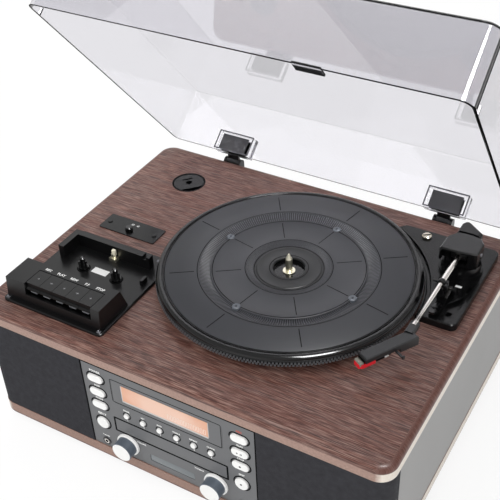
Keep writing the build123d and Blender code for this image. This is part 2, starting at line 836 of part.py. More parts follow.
# Cassette deck: flange, tub, key block, bay walls and the rod that the keys turn on
block_x0 = deck_x0 + 3.5
block_x1 = deck_x1 - 3.5
well_x1 = piano_x0 + piano_count * piano_w + 0.5
with BuildPart() as deck_housing:
    with BuildSketch(Plane.XY.offset(top)):
        with Locations(((deck_x0 + deck_x1) / 2, (deck_y0 + deck_y1) / 2)):
            RectangleRounded(deck_x1 - deck_x0, deck_y1 - deck_y0, 5)
    extrude(amount=deck_t)
    chamfer(deck_housing.faces().sort_by(Axis.Z)[-1].edges(), 0.9)
    with BuildSketch(Plane.XY.offset(top - 16)):
        with Locations(((deck_hole[0] + deck_hole[1]) / 2, (deck_hole[2] + deck_hole[3]) / 2)):
            Rectangle(deck_hole[1] - deck_hole[0] - 0.6, deck_hole[3] - deck_hole[2] - 0.6)
    extrude(amount=16)
    with BuildSketch(side_plane(block_x0)):
        with BuildLine():
            Polyline(
                (deck_y0 + 5, top + deck_t - 1),
                (deck_y0 + 7.5, top + key_block_h),
                (bay_y0, top + key_block_h),
                (bay_y0, top + deck_t - 1),
                close=True,
            )
        make_face()
    extrude(amount=block_x1 - block_x0)
    for x in (block_x0, bay_x1):
        with BuildSketch(side_plane(x)):
            with BuildLine():
                Polyline(
                    (bay_y0 - 1, top + deck_t - 1),
                    (bay_y0 - 1, top + key_block_h),
                    (bay_y0, top + key_block_h),
                    (bay_y0 + 9, top + deck_t - 1),
                    close=True,
                )
            make_face()
        extrude(amount=block_x1 - bay_x1 if x == bay_x1 else bay_x0 - block_x0)
    with BuildSketch(Plane.XY.offset(top + deck_t - 1)):
        with Locations((bay_x0 - bay_wall / 2, bay_y1 + (bay_wall - bay_side) / 2)):
            Rectangle(bay_wall, bay_wall + bay_side)
        with Locations(((bay_x0 - bay_wall + bay_x1 - bay_end) / 2, bay_y1 + bay_wall / 2)):
            Rectangle(bay_x1 - bay_end - bay_x0 + bay_wall, bay_wall)
    extrude(amount=bay_wall_h - deck_t + 1)
    with BuildSketch(Plane.XY.offset(top + bay_wall_h - 3.5)):
        with Locations((bay_x1 - bay_end - 6, bay_y1 + bay_wall / 2)):
            Rectangle(5, bay_wall)
    extrude(amount=3.5, mode=Mode.SUBTRACT)
    with BuildSketch(Plane.XY.offset(top + deck_t - 1)):
        with Locations((bay_x1 - 1.5, bay_y1 - 21)):
            Rectangle(3, 9)
    extrude(amount=7)
    for well_y0, well_low in ((deck_y0 + 8.3, 8), (deck_y0, sill_h)):
        with BuildSketch(Plane.XY.offset(top + well_low)):
            with Locations(((piano_x0 - 0.5 + well_x1) / 2, (well_y0 + piano_axis_y + 3.5) / 2)):
                Rectangle(well_x1 - piano_x0 + 0.5, piano_axis_y + 3.5 - well_y0)
        extrude(amount=key_block_h, mode=Mode.SUBTRACT)
    with BuildSketch(side_plane(piano_x0 - 2)):
        with Locations((piano_axis_y, top + piano_axis_z)):
            Circle(rod_r)
    extrude(amount=well_x1 - piano_x0 + 4)
    with BuildSketch(Plane.XY.offset(top - 10)):
        for x in reel_x:
            with Locations((x, reel_y)):
                Circle(1.5 + run_gap)
    extrude(amount=20, mode=Mode.SUBTRACT)
keep(deck_housing, "deck_housing")

for number in range(piano_count):
    with BuildPart() as piano_key:
        x = piano_x0 + number * piano_w + 0.2
        with BuildSketch(side_plane(x)):
            with BuildLine():
                Polyline(
                    (piano_y0, top + key_block_h),
                    (piano_axis_y + 2.5, top + key_block_h),
                    (piano_axis_y + 2.5, top + piano_axis_z),
                    (piano_axis_y, top + piano_axis_z - 2.8),
                    (piano_axis_y - 3.5, top + key_block_h - 3.5),
                    (piano_y0 + 2.5, top + key_block_h - 3.5),
                    (piano_y0 + 2.5, top + key_block_h - 8),
                    (piano_y0 - 1.5, top + key_block_h - 8),
                    (piano_y0 - 1.5, top + key_block_h - 7),
                    (piano_y0 + 0.5, top + key_block_h - 6),
                    close=True,
                )
            make_face()
            with Locations((piano_axis_y, top + piano_axis_z)):
                Circle(rod_r + 0.06, mode=Mode.SUBTRACT)
        extrude(amount=piano_w - 0.4)
    keep(piano_key, f"piano_key_{number + 1}")

for x, label in zip(reel_x, ("left", "right")):
    with BuildPart() as reel:
        with BuildSketch(Plane.XY.offset(top - 8)):
            with Locations((x, reel_y)):
                Circle(1.5)
        extrude(amount=8 + deck_t + seam)
        with BuildSketch(Plane.XY.offset(top + deck_t + seam)):
            with Locations((x, reel_y)):
                Circle(5.6)
        extrude(amount=2.4)
        with BuildSketch(Plane.XY.offset(top + deck_t + seam)):
            with Locations((x, reel_y)):
                Circle(2.9)
        extrude(amount=14.5)
        chamfer(reel.faces().sort_by(Axis.Z)[-1].edges(), 1.4)
        with BuildSketch(Plane.XY.offset(top + deck_t + seam + 2)):
            with Locations((x, reel_y)):
                with PolarLocations(2.6, 3):
                    Rectangle(5, 1.4)
        extrude(amount=8.5)
    keep(reel, f"reel_spindle_{label}")

head_mid = bay_x0 + 49
with BuildPart() as tape_head:
    with BuildSketch(Plane.XY.offset(top + deck_t)):
        with Locations((head_mid, bay_y1 - 3.5)):
            Rectangle(9, 6)
    extrude(amount=3)
    with BuildSketch(Plane.XY.offset(top + deck_t + 3)):
        with Locations((head_mid, bay_y1 - 3.5)):
            RectangleRounded(4.6, 3.4, 1.2)
    extrude(amount=6)
    chamfer(tape_head.faces().sort_by(Axis.Z)[-1].edges(), 0.9)
keep(tape_head, "tape_head")

# Switch plate with its push button
plate_mid = (sum(switch_x) / 2, sum(switch_y) / 2)
with BuildPart() as switch_plate:
    with BuildSketch(Plane.XY.offset(top)):
        with Locations(plate_mid):
            RectangleRounded(switch_x[1] - switch_x[0], switch_y[1] - switch_y[0], 1.5)
        with Locations((switch_button_x, switch_button_y)):
            Circle(switch_button_r + button_gap, mode=Mode.SUBTRACT)
    extrude(amount=switch_t)
    with BuildSketch(Plane.XY.offset(top + switch_t)):
        with Locations((switch_x[0] + 6.2, switch_y[0] + 13.3), (switch_x[1] - 6.9, switch_y[0] + 12.7)):
            Circle(2.7)
    extrude(amount=0.9)
keep(switch_plate, "switch_plate")

with BuildPart() as switch_button:
    with BuildSketch(Plane.XY.offset(top - 5)):
        with Locations((switch_button_x, switch_button_y)):
            Circle(switch_button_r)
    extrude(amount=11)
    chamfer(switch_button.faces().sort_by(Axis.Z)[-1].edges(), 0.9)
    with BuildSketch(Plane.XY.offset(top - 5)):
        with Locations((switch_button_x, switch_button_y)):
            Circle(switch_button_r + 1.2)
    extrude(amount=1.5)
keep(switch_button, "switch_button")

# Cup in the board and the loose adaptor in it, cut away at the front for a finger
cup_in = adaptor_r + 0.3
with BuildPart() as adaptor_cup:
    with BuildSketch(Plane.XY.offset(top - cup_deep)):
        with Locations((adaptor_x, adaptor_y)):
            Circle(cup_r)
    extrude(amount=cup_deep + 0.3)
    with BuildSketch(Plane.XY.offset(top - cup_deep + 1.5)):
        with Locations((adaptor_x, adaptor_y)):
            Circle(cup_in)
    extrude(amount=cup_deep, mode=Mode.SUBTRACT)
    with BuildSketch(Plane.XY.offset(top - cup_deep + 1.5)):
        with Locations((adaptor_x, adaptor_y)):
            Circle(10)
    extrude(amount=cup_deep - 1.5 - adaptor_t - 0.5)
keep(adaptor_cup, "adaptor_cup")

with BuildPart() as adaptor:
    with BuildSketch(
        Plane(
            origin=(adaptor_x, adaptor_y, top - adaptor_t),
            x_dir=(cos(radians(adaptor_turn)), sin(radians(adaptor_turn)), 0),
            z_dir=(0, 0, 1),
        )
    ):
        Circle(adaptor_r)
        with Locations((0, -adaptor_chord - adaptor_r)):
            Rectangle(2 * adaptor_r, 2 * adaptor_r, mode=Mode.SUBTRACT)
        Circle(3.7, mode=Mode.SUBTRACT)
        with Locations((0, 7.5)):
            SlotOverall(13, 2.6, mode=Mode.SUBTRACT)
    extrude(amount=adaptor_t)
keep(adaptor, "adaptor")


# Lid shell on its tipped plane: x across, y back along the rim, z away from the rim
def lid_plane(height=0.0, along=0.0):
    return Plane(
        origin=(
            0,
            rim_y - along * cos(tilt) + height * sin(tilt),
            rim_z + along * sin(tilt) + height * cos(tilt),
        ),
        x_dir=(1, 0, 0),
        z_dir=(0, sin(tilt), cos(tilt)),
    )


def lid_side_plane(x):
    """Section plane of the lid: its x runs back along the rim, its y away from the rim."""
    return Plane(
        origin=(x, rim_y, rim_z), x_dir=(0, cos(tilt), -sin(tilt)), z_dir=(1, 0, 0)
    )


def lid_outline(inset):
    """Plan of the lid, with the rear corners tighter than the front ones."""
    half = lid_w / 2 - inset
    near, far = -inset, -(lid_d - inset)
    front_r, rear_r = lid_front_r - inset, lid_rear_r - inset
    with BuildLine() as outline:
        Line((-half + rear_r, near), (half - rear_r, near))
        CenterArc((half - rear_r, near - rear_r), rear_r, 0, 90)
        Line((half, near - rear_r), (half, far + front_r))
        CenterArc((half - front_r, far + front_r), front_r, 270, 90)
        Line((half - front_r, far), (-half + front_r, far))
        CenterArc((-half + front_r, far + front_r), front_r, 180, 90)
        Line((-half, far + front_r), (-half, near - rear_r))
        CenterArc((-half + rear_r, near - rear_r), rear_r, 90, 90)
    make_face(outline.edges())


lid_axis = Axis((0, 0, 0), (0, sin(tilt), cos(tilt)))
slot_along = 318.0
tab_x = 77.5
with BuildPart() as lid:
    with BuildSketch(lid_plane()):
        lid_outline(0)
    extrude(amount=lid_h)
    fillet(lid.faces().sort_by(lid_axis)[-1].edges(), 4)
    with BuildSketch(lid_plane()):
        lid_outline(lid_t)
    extrude(amount=lid_h - lid_t, mode=Mode.SUBTRACT)
    with BuildSketch(lid_plane(0, 0)):
        with Locations((-hinge_x, pocket_deep / 2), (hinge_x, pocket_deep / 2)):
            Rectangle(pocket_w, pocket_deep)
    extrude(amount=pocket_h)
    with BuildSketch(lid_plane(0, 0)):
        with Locations((-hinge_x, 2.2 + leaf_t / 2), (hinge_x, 2.2 + leaf_t / 2)):
            Rectangle(leaf_w + 0.4, leaf_t + 0.2)
    extrude(amount=leaf_h + 0.4, mode=Mode.SUBTRACT)
    with BuildSketch(lid_plane(0, 0)):
        with Locations((tab_x, -(lid_d - lid_t) + 6.5)):
            Rectangle(27, 13)
    extrude(amount=2)
    with BuildSketch(lid_plane(0, slot_along)):
        Rectangle(lid_w + 2, 1.6)
    extrude(amount=8, mode=Mode.SUBTRACT)
keep(lid, "lid")

for side, label in ((-1, "left"), (1, "right")):
    with BuildPart() as hinge_arm:
        with BuildSketch(lid_plane(-0.4, 0)):
            with Locations((side * hinge_x, 2.3 + leaf_t / 2)):
                Rectangle(leaf_w, leaf_t)
        extrude(amount=leaf_h)
        with BuildSketch(lid_side_plane(side * hinge_x - barrel_w / 2)):
            with BuildLine():
                Polyline(
                    (2.5, -0.15),
                    (2.5, -0.4),
                    (hinge_back - barrel_r + 0.1, -4.5),
                    (hinge_back - barrel_r + 0.1, -hinge_drop),
                    (hinge_back, -hinge_drop),
                    (hinge_back + barrel_r - 1, -hinge_drop + 2.6),
                    (6.3, -0.15),
                    close=True,
                )
            make_face()
            with Locations((hinge_back, -hinge_drop)):
                Circle(barrel_r)
                Circle(hinge_pin_r + 0.06, mode=Mode.SUBTRACT)
        extrude(amount=barrel_w)
    keep(hinge_arm, f"hinge_arm_{label}")

    cheek_x = side * hinge_x - barrel_w / 2 - cheek_t - seam
    with BuildPart() as hinge_base:
        for x in (cheek_x, cheek_x + barrel_w + cheek_t + 2 * seam):
            with BuildSketch(side_plane(x)):
                with Locations((hinge_y, hinge_z)):
                    Circle(6.2)
                with Locations((hinge_y - 0.05, hinge_z - 12)):
                    Rectangle(2 * barrel_r + 1.7, 24)
            extrude(amount=cheek_t)
        with BuildSketch(Plane.XY.offset(hinge_z - base_len)):
            with Locations((side * hinge_x, back + seam + 1.75)):
                Rectangle(2 * barrel_w, 3.5)
        extrude(amount=base_len - barrel_r - 2)
        with BuildSketch(side_plane(cheek_x)):
            with Locations((hinge_y, hinge_z)):
                Circle(hinge_pin_r)
        extrude(amount=barrel_w + 2 * cheek_t + 2 * seam)
    keep(hinge_base, f"hinge_base_{label}")
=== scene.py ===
import math

import bmesh
import bpy
from mathutils import Matrix, Vector


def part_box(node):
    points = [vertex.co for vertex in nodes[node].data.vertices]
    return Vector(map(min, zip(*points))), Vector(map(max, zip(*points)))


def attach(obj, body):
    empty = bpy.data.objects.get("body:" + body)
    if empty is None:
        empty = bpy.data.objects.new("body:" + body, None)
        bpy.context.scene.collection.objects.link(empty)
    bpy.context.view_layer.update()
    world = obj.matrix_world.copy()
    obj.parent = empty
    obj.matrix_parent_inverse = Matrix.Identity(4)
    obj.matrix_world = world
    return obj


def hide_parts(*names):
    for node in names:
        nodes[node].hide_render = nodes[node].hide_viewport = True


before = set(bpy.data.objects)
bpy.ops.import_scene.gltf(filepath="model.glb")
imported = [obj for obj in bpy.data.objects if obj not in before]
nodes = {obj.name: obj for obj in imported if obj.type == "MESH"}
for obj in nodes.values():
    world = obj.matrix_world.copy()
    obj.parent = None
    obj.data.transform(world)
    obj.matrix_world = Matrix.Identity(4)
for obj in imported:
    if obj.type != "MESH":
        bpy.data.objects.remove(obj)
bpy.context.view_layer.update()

mm = 0.001
weldGap = 0.01 * mm  # points of a turned shape that are closer than this become one
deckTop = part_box("top_board")[1].z  # upper face of the cabinet
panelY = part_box("front_panel")[0].y  # face of the control fascia
outwards = (0, -1, 0)  # off the fascia, towards the user
rounds = {"tiny": 20, "small": 28, "medium": 36, "large": 64}  # steps of a turned shape, by its size
print("frame loaded:", len(nodes), "nodes")


# camera first, at the photograph's angle

view = {
    "place": (0.4038, -0.658, 0.7848),
    "right": (0.863554, 0.502813, -0.038132),
    "up": (-0.280366, 0.541614, 0.792496),
    "lens": 68.36,
    "sensor": 36.0,
    "near": 0.01,
}
cameraData = bpy.data.cameras.new("photoCamera")
cameraData.lens = view["lens"]
cameraData.sensor_width = view["sensor"]
cameraData.clip_start = view["near"]
camera = bpy.data.objects.new("photoCamera", cameraData)
right, up = Vector(view["right"]), Vector(view["up"])
turn = Matrix((right, up, right.cross(up))).transposed()
camera.matrix_world = Matrix.Translation(view["place"]) @ turn.to_4x4()
bpy.context.scene.collection.objects.link(camera)
bpy.context.scene.camera = camera
print("camera placed")


# small helpers

def toLinear(hexColour):  # the sRGB curve
    parts = [int(hexColour[i:i + 2], 16) / 255 for i in (1, 3, 5)]
    return [c / 12.92 if c <= 0.04045 else ((c + 0.055) / 1.055) ** 2.4 for c in parts] + [1.0]


def addNode(tree, kind, settings=None, links=None):  # kind is the node's type after "ShaderNode"
    node = tree.nodes.new("ShaderNode" + kind)
    for key, value in (settings or {}).items():
        if key == "stops":  # colour ramp stops: position and sRGB hex
            ramp = node.color_ramp
            while len(ramp.elements) < len(value):
                ramp.elements.new(0.5)
            for stop, (position, colour) in zip(ramp.elements, value):
                stop.position = position
                stop.color = toLinear(colour)
        elif isinstance(key, str) and hasattr(node, key):
            setattr(node, key, value)
        else:
            node.inputs[key].default_value = value
    for key, source in (links or {}).items():
        tree.links.new(source, node.inputs[key])
    return node


def startMaterial(name, colour, roughness, **sockets):
    material = bpy.data.materials.new(name)
    material.use_nodes = True
    tree = material.node_tree
    shader = tree.nodes["Principled BSDF"]
    shader.inputs["Base Color"].default_value = toLinear(colour)
    shader.inputs["Roughness"].default_value = roughness
    for key, value in sockets.items():
        shader.inputs[key.replace("_", " ")].default_value = value
    coords = addNode(tree, "TexCoord").outputs["Object"]
    return material, tree, shader, coords


def at(x, y, z):  # millimetres, with z above the deck, to a place in metres
    return Vector((x * mm, y * mm, deckTop + z * mm))


def onPanel(x, drop, proud=0.0):  # a place on the fascia, drop below the deck
    return Vector((x * mm, panelY - proud * mm, deckTop - drop * mm))


def middleOf(low, high):
    return [(a + b) / 2 for a, b in zip(low, high)]


def placePiece(name, mesh, material, body):
    mesh.materials.clear()
    mesh.materials.append(material)
    piece = bpy.data.objects.new(name, mesh)
    bpy.context.scene.collection.objects.link(piece)
    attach(piece, body)
    return piece


def finishPiece(name, bm, material, body, sharp=35):  # edges over this many degrees stay sharp
    for edge in bm.edges:
        edge.smooth = len(edge.link_faces) != 2 or edge.calc_face_angle(0) < math.radians(sharp)
    for face in bm.faces:
        face.smooth = True
    mesh = bpy.data.meshes.new(name)
    bm.to_mesh(mesh)
    bm.free()
    return placePiece(name, mesh, material, body)


def turnVerts(bm, verts, degrees, about):
    bmesh.ops.rotate(bm, matrix=Matrix.Rotation(math.radians(degrees), 3, about), verts=verts)


def addBlock(bm, centre, size, bevel=0.0, turnZ=0.0, turnX=0.0):  # sizes in millimetres
    made = bmesh.ops.create_cube(bm, size=1.0)["verts"]
    bmesh.ops.scale(bm, vec=Vector(size) * mm, verts=made)
    if bevel:
        edges = {e for v in made for e in v.link_edges}
        others = set(bm.verts) - set(made)
        bmesh.ops.bevel(bm, geom=list(edges), offset=bevel * mm, offset_type="OFFSET", segments=2,
                        profile=0.5, affect="EDGES", material=-1, clamp_overlap=True)
        made = [v for v in bm.verts if v not in others]
    turnVerts(bm, made, turnX, "X")
    turnVerts(bm, made, turnZ, "Z")
    bmesh.ops.translate(bm, vec=centre, verts=made)


def addTurned(bm, profile, centre, steps, axis=(0, 0, 1)):  # profile of radius and height in millimetres
    others = set(bm.verts)
    along = Vector(axis)
    side = along.orthogonal().normalized()
    made = [bm.verts.new(centre + side * r * mm + along * h * mm) for r, h in profile]
    edges = [bm.edges.new(pair) for pair in zip(made, made[1:])]
    bmesh.ops.spin(bm, geom=made + edges, cent=centre, axis=along, angle=math.tau, steps=steps,
                   use_merge=True)
    made = [v for v in bm.verts if v not in others]
    bmesh.ops.remove_doubles(bm, verts=made, dist=weldGap)
    made = [v for v in bm.verts if v not in others]
    bmesh.ops.recalc_face_normals(bm, faces=list({f for v in made for f in v.link_faces}))


def blockPiece(name, centre, size, material, body, slotName, **turned):
    bm = bmesh.new()
    addBlock(bm, centre, size, **turned)
    finishPiece(name, bm, material, body)


def turnedPiece(name, profile, centre, steps, material, body, axis=(0, 0, 1), sharp=35):
    bm = bmesh.new()
    addTurned(bm, profile, centre, steps, axis)
    return finishPiece(name, bm, material, body, sharp)


def addOutline(bm, x, y, width, height, corner, line):  # flat ring in the ground plane, in millimetres
    steps = 32
    made = bmesh.ops.create_circle(bm, cap_ends=True, radius=corner * mm, segments=steps)["verts"]
    bmesh.ops.rotate(bm, matrix=Matrix.Rotation(math.pi / steps, 3, "Z"), verts=made)
    for v in made:
        v.co.x += math.copysign(width / 2 - corner, v.co.x) * mm + x * mm
        v.co.y += math.copysign(height / 2 - corner, v.co.y) * mm + y * mm
    inner = made[0].link_faces[0]
    bmesh.ops.inset_region(bm, faces=[inner], thickness=line * mm, use_boundary=True, use_even_offset=True)
    bmesh.ops.delete(bm, geom=[inner], context="FACES_ONLY")


def raiseFlat(bm, high):  # gives flat shapes their thickness, in millimetres
    made = bmesh.ops.extrude_face_region(bm, geom=bm.faces[:])["geom"]
    raised = [v for v in made if isinstance(v, bmesh.types.BMVert)]
    bmesh.ops.translate(bm, vec=(0, 0, high * mm), verts=raised)
    bmesh.ops.recalc_face_normals(bm, faces=bm.faces[:])


def standOnPanel(bm, proud):  # stands what was drawn flat, with y up, against the fascia
    turnVerts(bm, bm.verts[:], 90, "X")
    bmesh.ops.translate(bm, vec=onPanel(0, 0, proud), verts=bm.verts[:])


lettering = {
    "capital": 0.7,  # height of a capital, as a share of the font's size
    "weight": 0.035,  # what the strokes gain, as a share of that height
    "depth": 0.04,
    "curveSteps": 2,
}


def makeLabel(name, words, centre, height, material, body, facing="up"):
    curve = bpy.data.curves.new(name, "FONT")
    curve.body = words
    curve.size = height * mm / lettering["capital"]
    curve.align_x = "CENTER"
    curve.align_y = "CENTER"
    curve.resolution_u = lettering["curveSteps"]
    curve.extrude = lettering["depth"] * mm
    curve.offset = height * mm * lettering["weight"]
    text = bpy.data.objects.new(name, curve)
    bpy.context.scene.collection.objects.link(text)
    mesh = bpy.data.meshes.new_from_object(text)
    bpy.data.objects.remove(text)
    stand = Matrix.Rotation(math.radians(90), 4, "X") if facing == "front" else Matrix.Identity(4)
    mesh.transform(Matrix.Translation(centre) @ stand)
    placePiece(name, mesh, material, body)


def dress(material, *names):
    for name in names:
        mesh = nodes[name].data
        if mesh.materials:
            mesh.materials[0] = material
        else:
            mesh.materials.append(material)


# finishes

veneer = {
    "facing": (0.15, 0.5),  # sideways look at which end grain and painted light start and are full
    "scales": ((48, 1050), (10, 200)),  # along and across the grain: fine pores, then broad figure
    "poreStops": ((0.37, "#2c1813"), (0.46, "#583931"), (0.55, "#7b594f"), (0.65, "#9d8074")),
    "figureStops": ((0.35, "#7a4032"), (0.65, "#6f5f5d")),
    "figureShare": 0.25,
    "sideShadeTone": "#5c2f24",
    "sideShadeShare": 0.6,
    "fadeOut": 0.0006,  # metres over which a band's edge fades, outside and inside
    "fadeIn": 0.0002,
    "speckScale": 420.0,
    "speckShare": 0.35,
    "relief": {"Strength": 0.12, "Distance": 0.0003},
}


def veneerFinish(name, bandFrom, bandTo, bandColour, endHighlight):
    # dark reddish veneer under satin lacquer: long fine pores that run across the cabinet,
    # 0.4 mm wide in the wood and drawn three times as coarse; the upright edge has a paler band,
    # which turns cream where it looks sideways, a painted highlight, while the other sideways faces
    # are drawn darker red, a painted shade
    wood, tree, shader, coords = startMaterial(name, "#66504b", 0.46, IOR=1.5, Coat_Weight=0.12,
                                               Coat_Roughness=0.15, Specular_IOR_Level=0.3)
    normal = addNode(tree, "NewGeometry").outputs["Normal"]
    facing = addNode(tree, "SeparateXYZ", links={0: normal}).outputs["X"]
    sideways = addNode(tree, "Math", {"operation": "ABSOLUTE"}, {0: facing}).outputs[0]
    start, full = veneer["facing"]
    sideways = addNode(tree, "MapRange", {"From Min": start, "From Max": full},
                       {"Value": sideways}).outputs[0]
    pores = []
    for lengthwise, across in veneer["scales"]:
        flat = addNode(tree, "Mapping", {"Scale": (lengthwise, across, across)},
                       {"Vector": coords}).outputs[0]
        end = addNode(tree, "Mapping", {"Scale": (lengthwise, across, lengthwise)},
                      {"Vector": coords}).outputs[0]
        place = addNode(tree, "Mix", {"data_type": "VECTOR"}, {0: sideways, 4: flat, 5: end}).outputs[1]
        pores.append(addNode(tree, "TexNoise", {"Scale": 1.0, "Detail": 3.0, "Roughness": 0.62,
                                                "Distortion": 0.35}, {"Vector": place}).outputs[0])
    fine = addNode(tree, "ValToRGB", {"stops": veneer["poreStops"]}, {0: pores[0]}).outputs[0]
    broad = addNode(tree, "ValToRGB", {"stops": veneer["figureStops"]}, {0: pores[1]}).outputs[0]
    colour = addNode(tree, "Mix", {"data_type": "RGBA", 0: veneer["figureShare"]},
                     {6: fine, 7: broad}).outputs[2]
    # painted shade: faces that look sideways are drawn darker red
    sideShade = addNode(tree, "Math", {"operation": "MULTIPLY", 1: veneer["sideShadeShare"]}, {0: sideways}).outputs[0]
    colour = addNode(tree, "Mix", {"data_type": "RGBA", 7: toLinear(veneer["sideShadeTone"])},
                     {0: sideShade, 6: colour}).outputs[2]
    height = addNode(tree, "SeparateXYZ", links={0: coords}).outputs["Z"]
    above = addNode(tree, "MapRange", {"From Min": bandFrom - veneer["fadeOut"],
                                       "From Max": bandFrom + veneer["fadeIn"]}, {"Value": height})
    below = addNode(tree, "MapRange", {"From Min": bandTo + veneer["fadeOut"],
                                       "From Max": bandTo - veneer["fadeIn"]}, {"Value": height})
    band = addNode(tree, "Math", {"operation": "MULTIPLY"},
                   {0: above.outputs[0], 1: below.outputs[0]}).outputs[0]
    speck = addNode(tree, "TexNoise", {"Scale": veneer["speckScale"], "Detail": 2.0},
                    {"Vector": coords}).outputs[0]
    # painted highlight: the pale band turns cream where it looks sideways, on the board's end
    tone = addNode(tree, "Mix", {"data_type": "RGBA", 6: toLinear(bandColour), 7: toLinear(endHighlight)},
                   {0: sideways}).outputs[2]
    pale = addNode(tree, "Mix", {"data_type": "RGBA", "blend_type": "OVERLAY", 0: veneer["speckShare"]},
                   {6: tone, 7: speck}).outputs[2]
    colour = addNode(tree, "Mix", {"data_type": "RGBA"}, {0: band, 6: colour, 7: pale}).outputs[2]
    tree.links.new(colour, shader.inputs["Base Color"])
    relief = addNode(tree, "Bump", veneer["relief"], {"Height": pores[0]})
    tree.links.new(relief.outputs[0], shader.inputs["Normal"])
    return wood


skin = {
    "cloudScale": 9.0,
    "smoother": 0.05,  # what a cloud takes from the roughness or adds to it
    "rougher": 0.07,
    "height": 0.0001,  # of the grit, in metres
}


def mouldedFinish(name, colour, roughness, grit=0.6, depth=0.02, **sockets):
    # moulded ABS, polystyrene or rubber, or a thin foil or ink: an even grit, 0.1 mm in the real
    # skin, breaks up the highlights a little, and is drawn at the size in millimetres that shows it
    plastic, tree, shader, coords = startMaterial(name, colour, roughness, IOR=1.5, **sockets)
    grain = addNode(tree, "TexNoise", {"Scale": 1 / (grit * mm), "Detail": 2.0}, {"Vector": coords})
    cloud = addNode(tree, "TexNoise", {"Scale": skin["cloudScale"], "Detail": 2.0}, {"Vector": coords})
    shade = addNode(tree, "MapRange", {"To Min": roughness - skin["smoother"],
                                       "To Max": roughness + skin["rougher"]}, {"Value": cloud.outputs[0]})
    tree.links.new(shade.outputs[0], shader.inputs["Roughness"])
    relief = addNode(tree, "Bump", {"Strength": depth, "Distance": skin["height"]},
                     {"Height": grain.outputs[0]})
    tree.links.new(relief.outputs[0], shader.inputs["Normal"])
    return plastic


speakerCloth = {
    "pitch": 0.0011,  # metres from thread to thread
    "slubScale": 160.0,
    "slubShare": 0.45,
    "stops": ((0.25, "#1f1f22"), (0.75, "#3d3d42")),
    "relief": {"Strength": 0.35, "Distance": 0.0003},
}


def grilleCloth():
    # plain-woven speaker cloth over a rounded frame: threads 0.5 mm apart, drawn at 1.1 mm to show
    cloth, tree, shader, coords = startMaterial("grilleCloth", "#232326", 0.9, Specular_IOR_Level=0.25)
    parts = addNode(tree, "SeparateXYZ", links={0: coords}).outputs
    around = addNode(tree, "Math", {"operation": "ADD"}, {0: parts["X"], 1: parts["Y"]}).outputs[0]
    waves = []
    for source in (around, parts["Z"]):
        step = addNode(tree, "Math", {"operation": "MULTIPLY", 1: math.tau / speakerCloth["pitch"]},
                       {0: source}).outputs[0]
        waves.append(addNode(tree, "Math", {"operation": "SINE"}, {0: step}).outputs[0])
    weave = addNode(tree, "Math", {"operation": "MULTIPLY"}, {0: waves[0], 1: waves[1]}).outputs[0]
    weave = addNode(tree, "MapRange", {"From Min": -1.0, "From Max": 1.0}, {"Value": weave}).outputs[0]
    slub = addNode(tree, "TexNoise", {"Scale": speakerCloth["slubScale"], "Detail": 3.0},
                   {"Vector": coords}).outputs[0]
    mixed = addNode(tree, "Mix", {"data_type": "FLOAT", 0: speakerCloth["slubShare"]},
                    {2: weave, 3: slub}).outputs[0]
    shade = addNode(tree, "ValToRGB", {"stops": speakerCloth["stops"]}, {0: mixed})
    tree.links.new(shade.outputs[0], shader.inputs["Base Color"])
    relief = addNode(tree, "Bump", speakerCloth["relief"], {"Height": weave})
    tree.links.new(relief.outputs[0], shader.inputs["Normal"])
    return cloth


matRibs = {
    "count": 240.0,
    "rings": ((0.0862, 0.0056), (0.0403, 0.0031)),  # middle and half width of each ring, in metres
    # painted shade and highlight: rib colour, from the dark to the pale side of each rib
    "stops": ((0.1, "#050506"), (0.5, "#303136"), (0.9, "#5f6066")),
    # painted shade: the mat's middle is drawn near-black within this radius
    "centreShadeRadius": 0.0365,
    "centreShadeColour": "#111214",
    "gritScale": 1400.0,
    "gritShare": 0.08,
    "relief": {"Strength": 0.8, "Distance": 0.0004},
}


